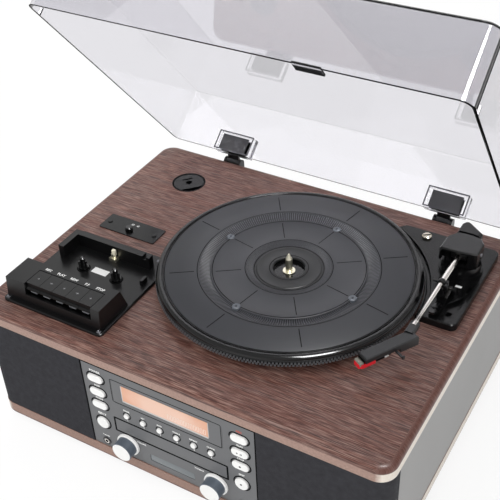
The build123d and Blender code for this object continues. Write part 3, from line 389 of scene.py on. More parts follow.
def matRubber(middle):
    # moulded rubber mat: matt charcoal, with 240 fine radial ribs on its two sloped rings, tinted dark to
    # pale across each rib as a painted shade and highlight; the middle, in the label recess, is a painted
    # shade
    rubber, tree, shader, coords = startMaterial("matRubber", "#2e2f34", 0.44, IOR=1.52)
    centred = addNode(tree, "Mapping", {"Location": (-middle.x, -middle.y, 0.0)}, {"Vector": coords})
    parts = addNode(tree, "SeparateXYZ", links={0: centred.outputs[0]}).outputs
    angle = addNode(tree, "Math", {"operation": "ARCTAN2"}, {0: parts["Y"], 1: parts["X"]}).outputs[0]
    turns = addNode(tree, "Math", {"operation": "MULTIPLY", 1: matRibs["count"]}, {0: angle}).outputs[0]
    ribs = addNode(tree, "Math", {"operation": "SINE"}, {0: turns}).outputs[0]
    flat = addNode(tree, "CombineXYZ", links={0: parts["X"], 1: parts["Y"]}).outputs[0]
    radius = addNode(tree, "VectorMath", {"operation": "LENGTH"}, {0: flat}).outputs["Value"]
    outer, inner = [addNode(tree, "Math", {"operation": "COMPARE", 1: ring, 2: half}, {0: radius})
                    for ring, half in matRibs["rings"]]
    where = addNode(tree, "Math", {"operation": "MAXIMUM"},
                    {0: outer.outputs[0], 1: inner.outputs[0]}).outputs[0]
    ribs = addNode(tree, "Math", {"operation": "MULTIPLY"}, {0: ribs, 1: where}).outputs[0]
    shade = addNode(tree, "MapRange", {"From Min": -1.0, "From Max": 1.0}, {"Value": ribs})
    # painted shade and highlight: each rib's colour runs from dark to pale across it
    tint = addNode(tree, "ValToRGB", {"stops": matRibs["stops"]}, {0: shade.outputs[0]}).outputs[0]
    # painted shade: near-black inside the label recess
    label = addNode(tree, "Math", {"operation": "LESS_THAN", 1: matRibs["centreShadeRadius"]},
                    {0: radius}).outputs[0]
    tint = addNode(tree, "Mix", {"data_type": "RGBA", 7: toLinear(matRibs["centreShadeColour"])},
                   {0: label, 6: tint}).outputs[2]
    tree.links.new(tint, shader.inputs["Base Color"])
    grit = addNode(tree, "TexNoise", {"Scale": matRibs["gritScale"], "Detail": 2.0},
                   {"Vector": coords}).outputs[0]
    grit = addNode(tree, "Math", {"operation": "MULTIPLY", 1: matRibs["gritShare"]}, {0: grit}).outputs[0]
    height = addNode(tree, "Math", {"operation": "ADD"}, {0: ribs, 1: grit}).outputs[0]
    relief = addNode(tree, "Bump", matRibs["relief"], {"Height": height})
    tree.links.new(relief.outputs[0], shader.inputs["Normal"])
    return rubber


def metalFinish(name, colour, roughness):
    # plated or turned metal, polished: mirror-like, with clouds that are a little duller
    duller = 0.08
    metal, tree, shader, coords = startMaterial(name, colour, roughness, Metallic=1.0)
    polish = addNode(tree, "TexNoise", {"Scale": 60.0, "Detail": 1.0}, {"Vector": coords})
    shade = addNode(tree, "MapRange", {"To Min": roughness, "To Max": roughness + duller},
                    {"Value": polish.outputs[0]})
    tree.links.new(shade.outputs[0], shader.inputs["Roughness"])
    return metal


def smokedAcrylic():
    # clear moulded acrylic with a light smoke tint, 3 mm thick and polished, with faint dull clouds
    dullest = 0.012
    acrylic, tree, shader, coords = startMaterial("smokedAcrylic", "#e6e5e9", 0.0, IOR=1.49,
                                                  Transmission_Weight=1.0)
    film = addNode(tree, "TexNoise", {"Scale": 14.0, "Detail": 2.0}, {"Vector": coords})
    shade = addNode(tree, "MapRange", {"To Min": 0.0, "To Max": dullest}, {"Value": film.outputs[0]})
    tree.links.new(shade.outputs[0], shader.inputs["Roughness"])
    return acrylic


backlight = {
    "x": -1,
    "drop": 44.5,
    "reach": (0.07, 0.07, 0.03),
    "stops": ((0.05, "#cf825b"), (0.3, "#db9e7d"), (0.62, "#e7bfa9")),
    "mottleScale": 70.0,
    "mottleShare": 0.25,
    "glow": "#f0b497",
}


def amberDisplay():
    # backlit liquid crystal behind glass: peach light, paler towards the middle, mottled by its lamps
    amber, tree, shader, coords = startMaterial("amberDisplay", "#efc3ae", 0.3, IOR=1.5, Coat_Weight=0.6,
                                                Coat_Roughness=0.05, Emission_Strength=0.06)
    middle = onPanel(backlight["x"], backlight["drop"])
    centred = addNode(tree, "Mapping", {"vector_type": "TEXTURE", "Location": middle,
                                        "Scale": backlight["reach"]}, {"Vector": coords}).outputs[0]
    pool = addNode(tree, "TexGradient", {"gradient_type": "SPHERICAL"}, {"Vector": centred}).outputs["Fac"]
    cloud = addNode(tree, "TexNoise", {"Scale": backlight["mottleScale"], "Detail": 2.0},
                    {"Vector": coords}).outputs[0]
    mixed = addNode(tree, "Mix", {"data_type": "FLOAT", 0: backlight["mottleShare"]},
                    {2: pool, 3: cloud}).outputs[0]
    tint = addNode(tree, "ValToRGB", {"stops": backlight["stops"]}, {0: mixed})
    tree.links.new(tint.outputs[0], shader.inputs["Base Color"])
    shader.inputs["Emission Color"].default_value = toLinear(backlight["glow"])
    return amber


bands = {  # band's start and end heights in metres, its colour, and its cream painted highlight on the end
    "top": (deckTop - 0.02, deckTop - 0.0085, "#a18478", "#e9dfd3"),
    "bottom": (0.0136, 0.03, "#957669", "#e6dcd0"),
}
veneerTop = veneerFinish("veneerTop", *bands["top"])
veneerBottom = veneerFinish("veneerBottom", *bands["bottom"])
cloth = grilleCloth()
matFinish = matRubber((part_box("platter")[0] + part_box("platter")[1]) / 2)
acrylic = smokedAcrylic()
amber = amberDisplay()

# steel and brass, plated or turned, from mirror-bright to dull
chromePlate = metalFinish("chromePlate", "#e6e1dc", 0.14)
wornChrome = metalFinish("wornChrome", "#b9b3a6", 0.16)
brassPin = metalFinish("brassPin", "#ece7d2", 0.3)
screwSteel = metalFinish("screwSteel", "#7d7d82", 0.25)

# satin skins of moulded plastic, rubber and foil: lamps show on them as wide soft patches
greyLaminate = mouldedFinish("greyLaminate", "#969594", 0.5, grit=1.2, depth=0.05)
fasciaPlastic = mouldedFinish("fasciaPlastic", "#656668", 0.42, depth=0.06)
blackMoulded = mouldedFinish("blackMoulded", "#0b0b0c", 0.3, depth=0.08, Specular_IOR_Level=0.35)
headSlate = mouldedFinish("headSlate", "#191a1c", 0.32, grit=0.8, depth=0.05)
# near-black for dark lines, seams and the cartridge's back, and for painted shade in gaps, wells and slots
darkLinesAndShade = mouldedFinish("darkLinesAndShade", "#040405", 0.85, Specular_IOR_Level=0.1)
cellMark = mouldedFinish("cellMark", "#f2ded3", 0.4, grit=0.5, depth=0.01)
barePlate = mouldedFinish("barePlate", "#747a7d", 0.3, grit=0.5)
keyGrey = mouldedFinish("keyGrey", "#75767a", 0.4, depth=0.05)
leafGrey = mouldedFinish("leafGrey", "#111118", 0.35, depth=0.03)
windowEdge = mouldedFinish("windowEdge", "#c6c2c0", 0.35)
plugRubber = mouldedFinish("plugRubber", "#5f646b", 0.42, depth=0.05)
# painted highlight: the teeth are a paler grey than the black rim they stand on
toothHighlightGrey = mouldedFinish("toothHighlightGrey", "#57585b", 0.3, depth=0.03)
whitePlastic = mouldedFinish("whitePlastic", "#f8f8f6", 0.3, depth=0.03)
knobSilver = mouldedFinish("knobSilver", "#646d78", 0.36, grit=0.5, depth=0.05, Metallic=0.25)
footRubber = mouldedFinish("footRubber", "#242425", 0.7, grit=0.8, depth=0.2)
creamPlastic = mouldedFinish("creamPlastic", "#f0ead2", 0.35, grit=0.5)
cartridgeGrey = mouldedFinish("cartridgeGrey", "#7a776c", 0.35, grit=0.5, depth=0.03)

# plastic moulded in polished steel: lamps show on it as small sharp patches
plateBlack = mouldedFinish("plateBlack", "#0b0b0c", 0.2, grit=0.8, depth=0.03, Specular_IOR_Level=0.27)
yokeGloss = mouldedFinish("yokeGloss", "#0a0a0b", 0.15, grit=0.8, Specular_IOR_Level=0.4)
blackGloss = mouldedFinish("blackGloss", "#0a0a0b", 0.16, grit=0.8, depth=0.03)
platterPlastic = mouldedFinish("platterPlastic", "#09090a", 0.14, grit=0.8)
smokeEdge = mouldedFinish("smokeEdge", "#37363d", 0.2, depth=0.01)
redPlastic = mouldedFinish("redPlastic", "#d3202c", 0.25, depth=0.03)

# printed inks: matt and flat
whiteInk = mouldedFinish("whiteInk", "#fafaf8", 0.6, grit=0.4)
redInk = mouldedFinish("redInk", "#c8503c", 0.6, grit=0.4)
greyInk = mouldedFinish("greyInk", "#1d1d1e", 0.5, grit=0.4)
signInk = mouldedFinish("signInk", "#9a9a9c", 0.6, grit=0.4)

dress(veneerTop, "top_board")
dress(veneerBottom, "bottom_board")
dress(greyLaminate, "side_wall_left", "side_wall_right", "back_panel")
dress(fasciaPlastic, "front_panel", "cd_tray", "display_window")
dress(cloth, "grille_left", "grille_right")
dress(footRubber, "feet")
dress(plateBlack, "mech_plate", "switch_plate", "adaptor_cup", "adaptor")
dress(headSlate, "headshell")
dress(yokeGloss, "arm_yoke")
dress(blackMoulded, "arm_rest", "deck_housing", "cd_housing", "arm_block", "hinge_base_left",
      "hinge_base_right", "hinge_arm_left", "hinge_arm_right", *[f"piano_key_{i}" for i in range(1, 6)])
dress(blackGloss, "headphone_jack", "cartridge", "cue_lever", "reel_spindle_left", "reel_spindle_right",
      "switch_button")
dress(wornChrome, "transit_screw")
dress(brassPin, "spindle", "tape_head")
dress(redPlastic, "stylus_guard")
dress(acrylic, "lid")
dress(knobSilver, "knob_left", "knob_right")
dress(whitePlastic, "round_button_left", "round_button_right",
      *[f"pill_button_{side}_{i}" for side in ("left", "right") for i in (1, 2, 3)],
      *[f"small_button_{i}" for i in range(1, 7)])
print("finishes made")


# platter: turned rim with two staggered rows of teeth, and the mat with its beads, lines and plugs

platter = {
    "x": 36.6,
    "y": 6.0,
    "steps": 180,
    "rim": ((3.65, 4), (15, 4), (15, 9), (129.5, 11.5), (130.5, 9.2), (134.9, 9.2), (135.1, 9.6),
            (135.1, 14.4), (136.1, 14.6), (136.4, 14.9), (136.3, 15.3), (135.7, 15.6), (135.5, 16.0),
            (135.4, 17.3), (135.2, 17.9), (134.8, 18.5), (133.5, 19.5), (132.8, 19.85), (132.0, 20.0),
            (131.0, 20.0), (130.2, 19.8), (129.8, 19.2), (129.6, 18.4), (129.1, 18.4), (128.8, 19.2),
            (128.3, 19.7), (127.8, 19.6), (127.4, 19.0), (127.3, 14.5), (16.5, 14.5), (16.5, 12),
            (3.65, 12), (3.65, 4)),
    "mat": ((16.5, 14.5), (127.0, 14.5), (127.0, 19.6), (126.6, 20.0), (93.3, 20.0), (92.9, 20.2),
            (92.3, 20.2), (91.8, 19.8), (84.0, 16.5), (80.7, 16.4), (80.5, 18.2), (80.1, 18.5),
            (79.4, 18.5), (79.0, 18.2), (44.3, 18.2), (43.9, 18.4), (43.4, 18.3), (43.0, 17.8),
            (37.1, 16.1), (36.6, 16.0), (33.6, 16.0), (33.2, 16.7), (32.6, 16.9), (31.8, 16.7),
            (19.2, 16.6), (18.6, 17.0), (17.2, 17.0), (16.5, 16.4), (16.5, 14.5)),
    "wall": 136.15,  # radius at which the teeth stand
    "teeth": 252,  # in each of the two rows
    "toothSize": (1.3, 1.9, 1.9),
    "rows": (10.7, 13.1),
    "lines": (((97.0, 122.0), 20.0), ((49.0, 75.0), 18.2)),  # from and to which radius, and how high
    "lineCount": 8,
    "lineTurn": -11.2,
    "lineWidth": 0.8,
    "lineThick": 0.16,
    "grooveShades": ((127.5, 19.4), (93.8, 20.0), (78.5, 18.2), (45.0, 18.2), (35.8, 16.0), (20.0, 16.6)),
    "grooveHalf": 0.4,
    "grooveDeep": 0.1,
    "grooveProud": 0.05,
    "plugs": 4,
    "plugRing": 80.5,
    "plugFoot": 16.2,
    "plug": ((0, 1.2), (1.0, 1.2), (1.2, 2.9), (2.2, 3.2), (3.6, 3.1), (4.2, 2.5), (4.2, 0.0)),
}
platterAxis = at(platter["x"], platter["y"], 0)


def roundPlatter(radius, degrees, height):  # a place round the platter's axis
    a = math.radians(degrees)
    return at(platter["x"] + radius * math.cos(a), platter["y"] + radius * math.sin(a), height)


rim = turnedPiece("platterRim", platter["rim"], platterAxis, platter["steps"], platterPlastic, "platter",
                  sharp=50)
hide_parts("platter")
mat = turnedPiece("platterMat", platter["mat"], platterAxis, platter["steps"], matFinish, "platter",
                  sharp=50)
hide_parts("platter_mat")

# two rows of teeth, drawn paler than the rim as a painted highlight
bm = bmesh.new()
for row, height in enumerate(platter["rows"]):
    for i in range(platter["teeth"]):
        turnTo = (i + row / 2) * 360 / platter["teeth"]
        addBlock(bm, roundPlatter(platter["wall"], turnTo, height), platter["toothSize"], turnZ=turnTo)
finishPiece("platterTeeth", bm, toothHighlightGrey, "platter", sharp=30)

bm = bmesh.new()  # dark lines across the mat's two flat rings
for (start, end), top in platter["lines"]:
    for i in range(platter["lineCount"]):
        turnTo = platter["lineTurn"] + 360 / platter["lineCount"] * i
        addBlock(bm, roundPlatter((start + end) / 2, turnTo, top),
                 (end - start, platter["lineWidth"], platter["lineThick"]), turnZ=turnTo)
finishPiece("matLines", bm, darkLinesAndShade, "platter")

bm = bmesh.new()  # painted shade: dark rings where the mat's rings meet
for r, top in platter["grooveShades"]:
    inner, outer = r - platter["grooveHalf"], r + platter["grooveHalf"]
    low, high = top - platter["grooveDeep"], top + platter["grooveProud"]
    profile = ((inner, low), (inner, high), (outer, high), (outer, low))
    addTurned(bm, profile, platterAxis, platter["steps"])
finishPiece("matGrooveShade", bm, darkLinesAndShade, "platter")

bm = bmesh.new()  # small rubber plugs with a dimple
for i in range(platter["plugs"]):
    turnTo = platter["lineTurn"] + 360 / platter["plugs"] * i
    centre = roundPlatter(platter["plugRing"], turnTo, platter["plugFoot"])
    addTurned(bm, platter["plug"], centre, rounds["small"])
finishPiece("matPlugs", bm, plugRubber, "platter")
print("platter detailed")


# fascia: amber display, dark outlines, plate, jack, knob faces, lettering and button signs

display = {
    "panel": (-50.8, 47.8, 34.2, 54.0),  # left, right, and the drops of top and bottom
    "edges": ((-51.6, 47.8, 54.1, 55.9), (47.9, 48.5, 34.2, 54.0), (-51.8, -50.8, 34.2, 55.2)),
    "thick": 0.5,
    "proud": 0.05,
    "cells": 12,
    "firstCell": 3.2,
    "cellPitch": 3.7,
    "cellDrop": 48.8,
    "cell": (2.6, 6.6, 0.3, 0.5),  # width, height, corner radius and line
    "cellProud": 0.3,
    "cellThick": 0.06,
}


def addDisplayBlock(bm, left, rightEnd, top, bottom):
    addBlock(bm, onPanel((left + rightEnd) / 2, (top + bottom) / 2, display["proud"]),
             (rightEnd - left, display["thick"], bottom - top))


bm = bmesh.new()
addDisplayBlock(bm, *display["panel"])
finishPiece("displayPanel", bm, amber, "cabinet")

bm = bmesh.new()  # pale edges of the glass: below, on the right and on the left
for edge in display["edges"]:
    addDisplayBlock(bm, *edge)
finishPiece("displayEdge", bm, windowEdge, "cabinet")

bm = bmesh.new()  # cells of the unlit figures
for i in range(display["cells"]):
    addOutline(bm, display["firstCell"] + display["cellPitch"] * i, -display["cellDrop"], *display["cell"])
raiseFlat(bm, display["cellThick"])
standOnPanel(bm, display["cellProud"])
finishPiece("displayCells", bm, cellMark, "cabinet")

fascia = {
    "column": 82.0,  # how far the pill and round buttons are from the middle
    "windowAt": (-1.1, 45.65),
    "trayAt": (0, 94.5),
    "windowLine": (127.0, 31.5, 2.0, 0.6),  # width, height, corner radius and line, as in the next four
    "trayLine": (134.6, 20.6, 1.4, 1.9),
    "pillLine": (22.8, 13.8, 6.9, 1.4),
    "roundLine": (19.2, 19.2, 9.6, 1.4),
    "smallLine": (9.6, 9.6, 4.8, 0.9),
    "lineThick": 0.12,
    # the first strip, under the board, is painted shade; the other two are seams by the cloth
    "joints": ((0, 19.7, 198.4, 2.0), (-98.6, 77.5, 1.3, 118), (98.6, 77.5, 1.3, 118)),  # x, drop, size
    "jointThick": 0.5,
    "jointSunk": 0.1,
    "plateAt": (0, 123.8, -0.5),
    "plateSize": (52.4, 0.5, 8.9),
    "plateBevel": 0.15,
    "jackRing": ((1.85, 0.9), (2.9, 0.9), (2.9, 0.7), (1.85, 0.7), (1.85, 0.9)),
    "labelProud": 0.02,
}
bm = bmesh.new()  # painted shade: dark lines round the window, the tray and every button, in their gaps
for (x, drop), line in ((fascia["windowAt"], fascia["windowLine"]), (fascia["trayAt"], fascia["trayLine"])):
    addOutline(bm, x, -drop, *line)
for side in (-1, 1):
    for i in (1, 2, 3):
        z = middleOf(*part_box(f"pill_button_left_{i}"))[2]
        addOutline(bm, side * fascia["column"], (z - deckTop) / mm, *fascia["pillLine"])
    z = middleOf(*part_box("round_button_left"))[2]
    addOutline(bm, side * fascia["column"], (z - deckTop) / mm, *fascia["roundLine"])
for i in range(1, 7):
    x, y, z = middleOf(*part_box(f"small_button_{i}"))
    addOutline(bm, x / mm, (z - deckTop) / mm, *fascia["smallLine"])
raiseFlat(bm, fascia["lineThick"])
standOnPanel(bm, 0)
finishPiece("buttonShadeLines", bm, darkLinesAndShade, "cabinet")

bm = bmesh.new()  # dark strips: a painted shade where the fascia meets the board, and seams where it meets the cloth
for x, drop, width, height in fascia["joints"]:
    addBlock(bm, onPanel(x, drop, -fascia["jointSunk"]), (width, fascia["jointThick"], height))
finishPiece("fasciaJointsAndShade", bm, darkLinesAndShade, "cabinet")

blockPiece("bareFasciaPlate", onPanel(*fascia["plateAt"]), fascia["plateSize"], barePlate, "cabinet",
           "grey_plastic", bevel=fascia["plateBevel"])

x, y, z = middleOf(*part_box("headphone_jack"))
turnedPiece("jackRing", fascia["jackRing"], Vector((x, panelY, z)), rounds["small"], chromePlate,
            "cabinet", outwards)

knob = {
    "x": 52.5,
    "drop": 117.5,
    "face": ((0, 0.06), (9.52, 0.05), (10.7, 0.02), (10.6, -0.5)),  # heights over the front of the cap
    "ring": ((11.3, 3.2), (11.9, 3.3), (13.1, 2.7), (13.2, 2.2), (13.2, 0.35), (11.3, 0.35), (11.3, 3.2)),
}
capFront = (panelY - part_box("knob_left")[0].y) / mm  # how far a cap stands before the fascia
for side, name in ((-1, "left"), (1, "right")):
    centre = onPanel(side * knob["x"], knob["drop"])
    face = [(r, capFront + h) for r, h in knob["face"]]
    for part, profile in (("Face", face), ("Ring", knob["ring"])):
        turnedPiece(f"knob{part}.{name}", profile, centre, rounds["large"], whitePlastic, f"knob_{name}",
                    outwards)

labels = [  # words, x, drop and height
    ("POWER", -82, 28.6, 2.6), ("SLEEP", -82, 47.9, 2.0), ("MODE", -82, 66.0, 2.2),
    ("EJECT", -82, 88.3, 2.8), ("PHONES", -82, 120.5, 1.6),
    ("PLAY", 82, 47.9, 2.2), ("STOP", 82, 66.0, 2.2), ("SKIP", 82, 88.3, 2.4),
    ("TIMER", -49.2, 68.6, 2.0), ("SET", -29.5, 69.0, 1.9), ("BASS", -9.8, 68.8, 1.9),
    ("TREBLE", 9.8, 68.6, 1.9), ("REPEAT", 29.5, 68.6, 1.9), ("CLOCK", 49.2, 68.6, 1.9),
    ("VOLUME", -36, 108.6, 2.0), ("TUNING", 33, 108.6, 2.0),
]
labels += [(str(i + 1), x, 81.9, 2.0) for i, x in enumerate((-49.2, -29.5, -9.8, 9.8, 29.5, 49.2))]
redLabel = ("REC", 82, 28.6, 2.4)
for number, (words, x, drop, height) in enumerate(labels):
    makeLabel(f"fasciaLabel.{number}", words, onPanel(x, drop, fascia["labelProud"]), height, whiteInk,
              "cabinet", facing="front")
words, x, drop, height = redLabel
makeLabel("fasciaLabel.red", words, onPanel(x, drop, fascia["labelProud"]), height, redInk, "cabinet",
          facing="front")

signs = {
    "nodes": {"pill_button_right_2": "play", "pill_button_right_3": "stop", "round_button_right": "dot"},
    "proud": 0.02,
    "triangleRadius": 1.3,
    "triangleX": -2.2,
    "barsX": (1.4, 2.6),
    "bar": (0.6, 0.06, 2.2),
    "square": (2.0, 0.06, 2.0),
    "dot": ((0, 0.03), (1.1, 0.03), (1.1, -0.03)),
}
for node, sign in signs["nodes"].items():
    low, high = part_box(node)
    x, y, z = middleOf(low, high)
    centre = Vector((x, low.y - signs["proud"] * mm, z))
    bm = bmesh.new()
    if sign == "play":  # a triangle and the two bars of pause
        made = bmesh.ops.create_circle(bm, cap_ends=True, radius=signs["triangleRadius"] * mm,
                                       segments=3)["verts"]
        turnVerts(bm, made, -90, "Z")
        turnVerts(bm, made, 90, "X")
        bmesh.ops.translate(bm, vec=centre + Vector((signs["triangleX"] * mm, 0, 0)), verts=made)
        for barX in signs["barsX"]:
            addBlock(bm, centre + Vector((barX * mm, 0, 0)), signs["bar"])
    elif sign == "stop":
        addBlock(bm, centre, signs["square"])
    else:
        addTurned(bm, signs["dot"], centre, rounds["tiny"], outwards)
    finishPiece(f"sign.{sign}", bm, greyInk, node)
print("fascia detailed")


# deck: screws, blank label, head block, dark rings, the switch's mark, and marks and stalks of the keys

deck = {
    "screws": ((-204.0, -152.4), (-88.5, -152.6), (-99.2, -33.2), (-204.0, -31.0)),
    "screw": ((0, 0.45), (0.5, 0.2), (1.0, 0.55), (1.9, 0.5), (2.5, 0.1), (2.5, -0.1)),
    "top": 3.0,
    "labelAt": (-144.0, -76.95, 3.05),
    "labelSize": (19.0, 8.5, 0.3),
    "labelBevel": 0.08,
    "headBlockAt": (-142.1, -53.5, 13.2),
    "headBlockSize": (4.4, 3.4, 7.2),
    "headBlockBevel": 0.7,
    "reels": ((-163.5, -80.0, 3.05), (-121.0, -80.0, 3.05)),
    "wellShade": ((5.9, 0.0), (5.9, 0.1), (7.3, 0.1), (7.3, 0.0)),
    "cupGapShade": ((-2.0, -0.2), (-2.0, 0.04), (-0.9, 0.04), (-0.9, -0.2)),  # from the cup's upper edge
    "switchMark": ("33   45", (-161.0, 9.6, 1.22), 2.6),  # words, place and height
}
bm = bmesh.new()
for x, y in deck["screws"]:
    addTurned(bm, deck["screw"], at(x, y, deck["top"]), rounds["tiny"])
finishPiece("deckScrews", bm, screwSteel, "cabinet")

blockPiece("bayLabel", at(*deck["labelAt"]), deck["labelSize"], whitePlastic, "cabinet", "white_plastic",
           bevel=deck["labelBevel"])

# cream pin block of the tape head
blockPiece("headBlock", at(*deck["headBlockAt"]), deck["headBlockSize"], creamPlastic, "cabinet",
           "white_plastic", bevel=deck["headBlockBevel"])

bm = bmesh.new()  # painted shade: dark rings in the wells round the reels
for reel in deck["reels"]:
    addTurned(bm, deck["wellShade"], at(*reel), rounds["medium"])
finishPiece("reelWellShade", bm, darkLinesAndShade, "cabinet")

# painted shade: a dark ring in the gap round the adaptor's cup
low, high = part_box("adaptor_cup")
x, y, z = middleOf(low, high)
cupRadius = (high.x - low.x) / 2 / mm
turnedPiece("cupGapShade", [(cupRadius + r, h) for r, h in deck["cupGapShade"]], Vector((x, y, high.z)),
            rounds["large"], darkLinesAndShade, "cabinet")

words, place, height = deck["switchMark"]
makeLabel("switchMark", words, at(*place), height, whiteInk, "cabinet")

keys = {
    "marks": ("REC", "PLAY", "REW", "F.F", "STOP"),
    "first": -180.0,  # left side of the first key
    "pitch": 16.4,
    "top": 26.52,  # just above the keys' upper faces
    "markY": -121.4,
    "markHeight": 3.0,
    "stalkAt": (-1.2, -145.6, 16.2),  # x from the middle of the key
    "stalkSize": (8.4, 1.6, 4.4),
    "stalkBevel": 0.3,
    "signY": -137.0,
    "signBars": ((2.2, 0.5, 0.12), (3.4, 0.5, 0.12)),  # in turn from key to key
    "signStroke": (0.5, 2.2, 0.12),
}
for i, words in enumerate(keys["marks"]):
    x = keys["first"] + (i + 0.5) * keys["pitch"]
    makeLabel(f"keyMark.{i + 1}", words, at(x, keys["markY"], keys["top"]), keys["markHeight"], whiteInk,
              "cabinet")
    aside, y, z = keys["stalkAt"]
    blockPiece(f"keyStalk.{i + 1}", at(x + aside, y, z), keys["stalkSize"], keyGrey,
               f"piano_key_{i + 1}", "black_plastic", bevel=keys["stalkBevel"])
    bm = bmesh.new()
    addBlock(bm, at(x, keys["signY"], keys["top"]), keys["signBars"][i % 2])
    addBlock(bm, at(x, keys["signY"], keys["top"]), keys["signStroke"])
    finishPiece(f"keySign.{i + 1}", bm, signInk, f"piano_key_{i + 1}")
print("cassette deck detailed")


# tone arm: collar with its catch, tapered tube, lip of the plate, screws, marks and cartridge

arm = {
    "x": 187.5,
    "z": 31.0,
    "collarY": 38.0,
    "collar": ((2.85, -2.2), (3.8, -2.2), (4.0, -1.8), (4.0, 1.8), (3.8, 2.2), (2.85, 2.2), (2.85, -2.2)),
    "catch": (  # blocks on the collar: place from its middle, size and turn
        ((-6.2, 0.4, -0.4), (6.4, 2.2, 1.6), -8),
        ((5.0, -1.6, -1.0), (3.6, 6.0, 3.2), 0),
        ((1.6, -4.4, -3.6), (3.0, 3.0, 2.4), 0),
    ),
    "catchBevel": 0.5,
    "tube": ((1.4, -33.0), (2.75, -33.0), (2.75, -25.6), (2.1, -25.0), (2.15, 15), (2.3, 34), (2.8, 42),
             (2.8, 89.5), (1.9, 89.5), (1.4, -33.0)),  # radius, and y along the arm
    "yokeScrewAt": (207.0, 96, 31.0),
    "yokeScrew": ((0, 0.7), (1.6, 0.6), (2.1, 0.1), (2.1, -0.4)),
}
bm = bmesh.new()
addTurned(bm, arm["collar"], at(arm["x"], arm["collarY"], arm["z"]), rounds["small"], (0, 1, 0))
for (x, y, z), size, turned in arm["catch"]:
    addBlock(bm, at(arm["x"] + x, arm["collarY"] + y, arm["z"] + z), size, bevel=arm["catchBevel"],
             turnZ=turned)
finishPiece("armCollar", bm, blackMoulded, "tone_arm")

# tube, thinner in front of its collar
tube = turnedPiece("armTube", arm["tube"], at(arm["x"], 0, arm["z"]), rounds["medium"], chromePlate,
                   "tone_arm", (0, 1, 0), sharp=60)
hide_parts("arm_tube")

armPlate = {
    "lip": ((137.6, 0.1), (137.6, 6.5), (138.1, 7.2), (139.0, 7.2), (139.5, 6.7), (140.1, 5.4),
            (143.4, 5.4), (143.4, 0.1)),  # radius from the platter's axis, and height
    "lipFrom": 0.8,
    "lipTurn": 60.6,
    "lipSteps": 60,
    "slotSize": (7.4, 1.7, 0.5),
    "slotSunk": 0.1,
    "slotTurn": 35,
    "markAt": (196.3, 66.4, 8.03),
    "markSize": (6.5, 3.0, 0.14),
    "cueX": 189.3,
    "cueSigns": ((46.4, 0), (41.4, 180)),
    "cueTop": 8.02,
    "cueRadius": 1.7,
    "cueThick": 0.06,
}
bm = bmesh.new()  # lip of the plate, close beside the platter
start = Matrix.Rotation(math.radians(armPlate["lipFrom"]), 3, "Z")
made = [bm.verts.new(platterAxis + start @ Vector((r * mm, 0, h * mm))) for r, h in armPlate["lip"]]
edges = [bm.edges.new(pair) for pair in zip(made, made[1:] + made[:1])]
bmesh.ops.spin(bm, geom=made + edges, cent=platterAxis, axis=(0, 0, 1),
               angle=math.radians(armPlate["lipTurn"]), steps=armPlate["lipSteps"])
bmesh.ops.holes_fill(bm, edges=bm.edges[:])
bmesh.ops.recalc_face_normals(bm, faces=bm.faces[:])
finishPiece("plateLip", bm, plateBlack, "cabinet")

# the screw head's slot, drawn as a dark strip: a painted shade
low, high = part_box("transit_screw")
x, y, z = middleOf(low, high)
blockPiece("transitSlot", Vector((x, y, high.z - armPlate["slotSunk"] * mm)), armPlate["slotSize"],
           darkLinesAndShade, "cabinet", "black_plastic", turnZ=armPlate["slotTurn"])

turnedPiece("yokeScrew", arm["yokeScrew"], at(*arm["yokeScrewAt"]), rounds["tiny"], screwSteel,
            "arm_yoke", (1, 0, 0))

blockPiece("plateMark", at(*armPlate["markAt"]), armPlate["markSize"], whiteInk, "cabinet",
           "white_plastic")

bm = bmesh.new()  # up and down signs beside the cue lever
for y, turned in armPlate["cueSigns"]:
    made = bmesh.ops.create_circle(bm, cap_ends=True, radius=armPlate["cueRadius"] * mm,
                                   segments=3)["verts"]
    turnVerts(bm, made, turned, "Z")
    bmesh.ops.translate(bm, vec=at(armPlate["cueX"], y, armPlate["cueTop"]), verts=made)
raiseFlat(bm, armPlate["cueThick"])
finishPiece("cueSigns", bm, whiteInk, "cabinet")

head = {
    "x": 190.8,
    "y": -43.5,
    "turn": -30.6,
    "sine": 0.509,  # of that turn, rounded
    "cosine": 0.861,
    "pins": (30.6, 31.7, 32.8, 33.9),  # how far along the head each one is
    "pinOut": 5.0,
    "pinZ": 24.2,
    "pinSize": (2.6, 0.6, 0.8),
    "noseAt": (58.2, 0, 25.2),
    "noseSize": (9.4, 4.2, 3.6),
    "noseBevel": 0.5,
    "backAt": (38.6, 0.2, 24.2),
    "backSize": (10.6, 9.0, 3.4),
    "backBevel": 0.4,
}


def onHead(along, out, z):  # a place under the head, along its nose and out to the right
    return at(head["x"] - head["sine"] * along + head["cosine"] * out,
              head["y"] - head["cosine"] * along - head["sine"] * out, z)


bm = bmesh.new()  # contact pins at the back of the cartridge
for along in head["pins"]:
    addBlock(bm, onHead(along, head["pinOut"], head["pinZ"]), head["pinSize"], turnZ=head["turn"])
finishPiece("cartridgePins", bm, whitePlastic, "tone_arm")

# grey nose of the cartridge, above the red guard, and its dark back
blockPiece("cartridgeNose", onHead(*head["noseAt"]), head["noseSize"], cartridgeGrey, "tone_arm",
           "black_plastic", bevel=head["noseBevel"], turnZ=head["turn"])
blockPiece("cartridgeBack", onHead(*head["backAt"]), head["backSize"], darkLinesAndShade, "tone_arm",
           "black_plastic", bevel=head["backBevel"], turnZ=head["turn"])
print("tone arm detailed")


# lid: lift tab on its front rim, dark lines along its edges, and the pockets of its hinges

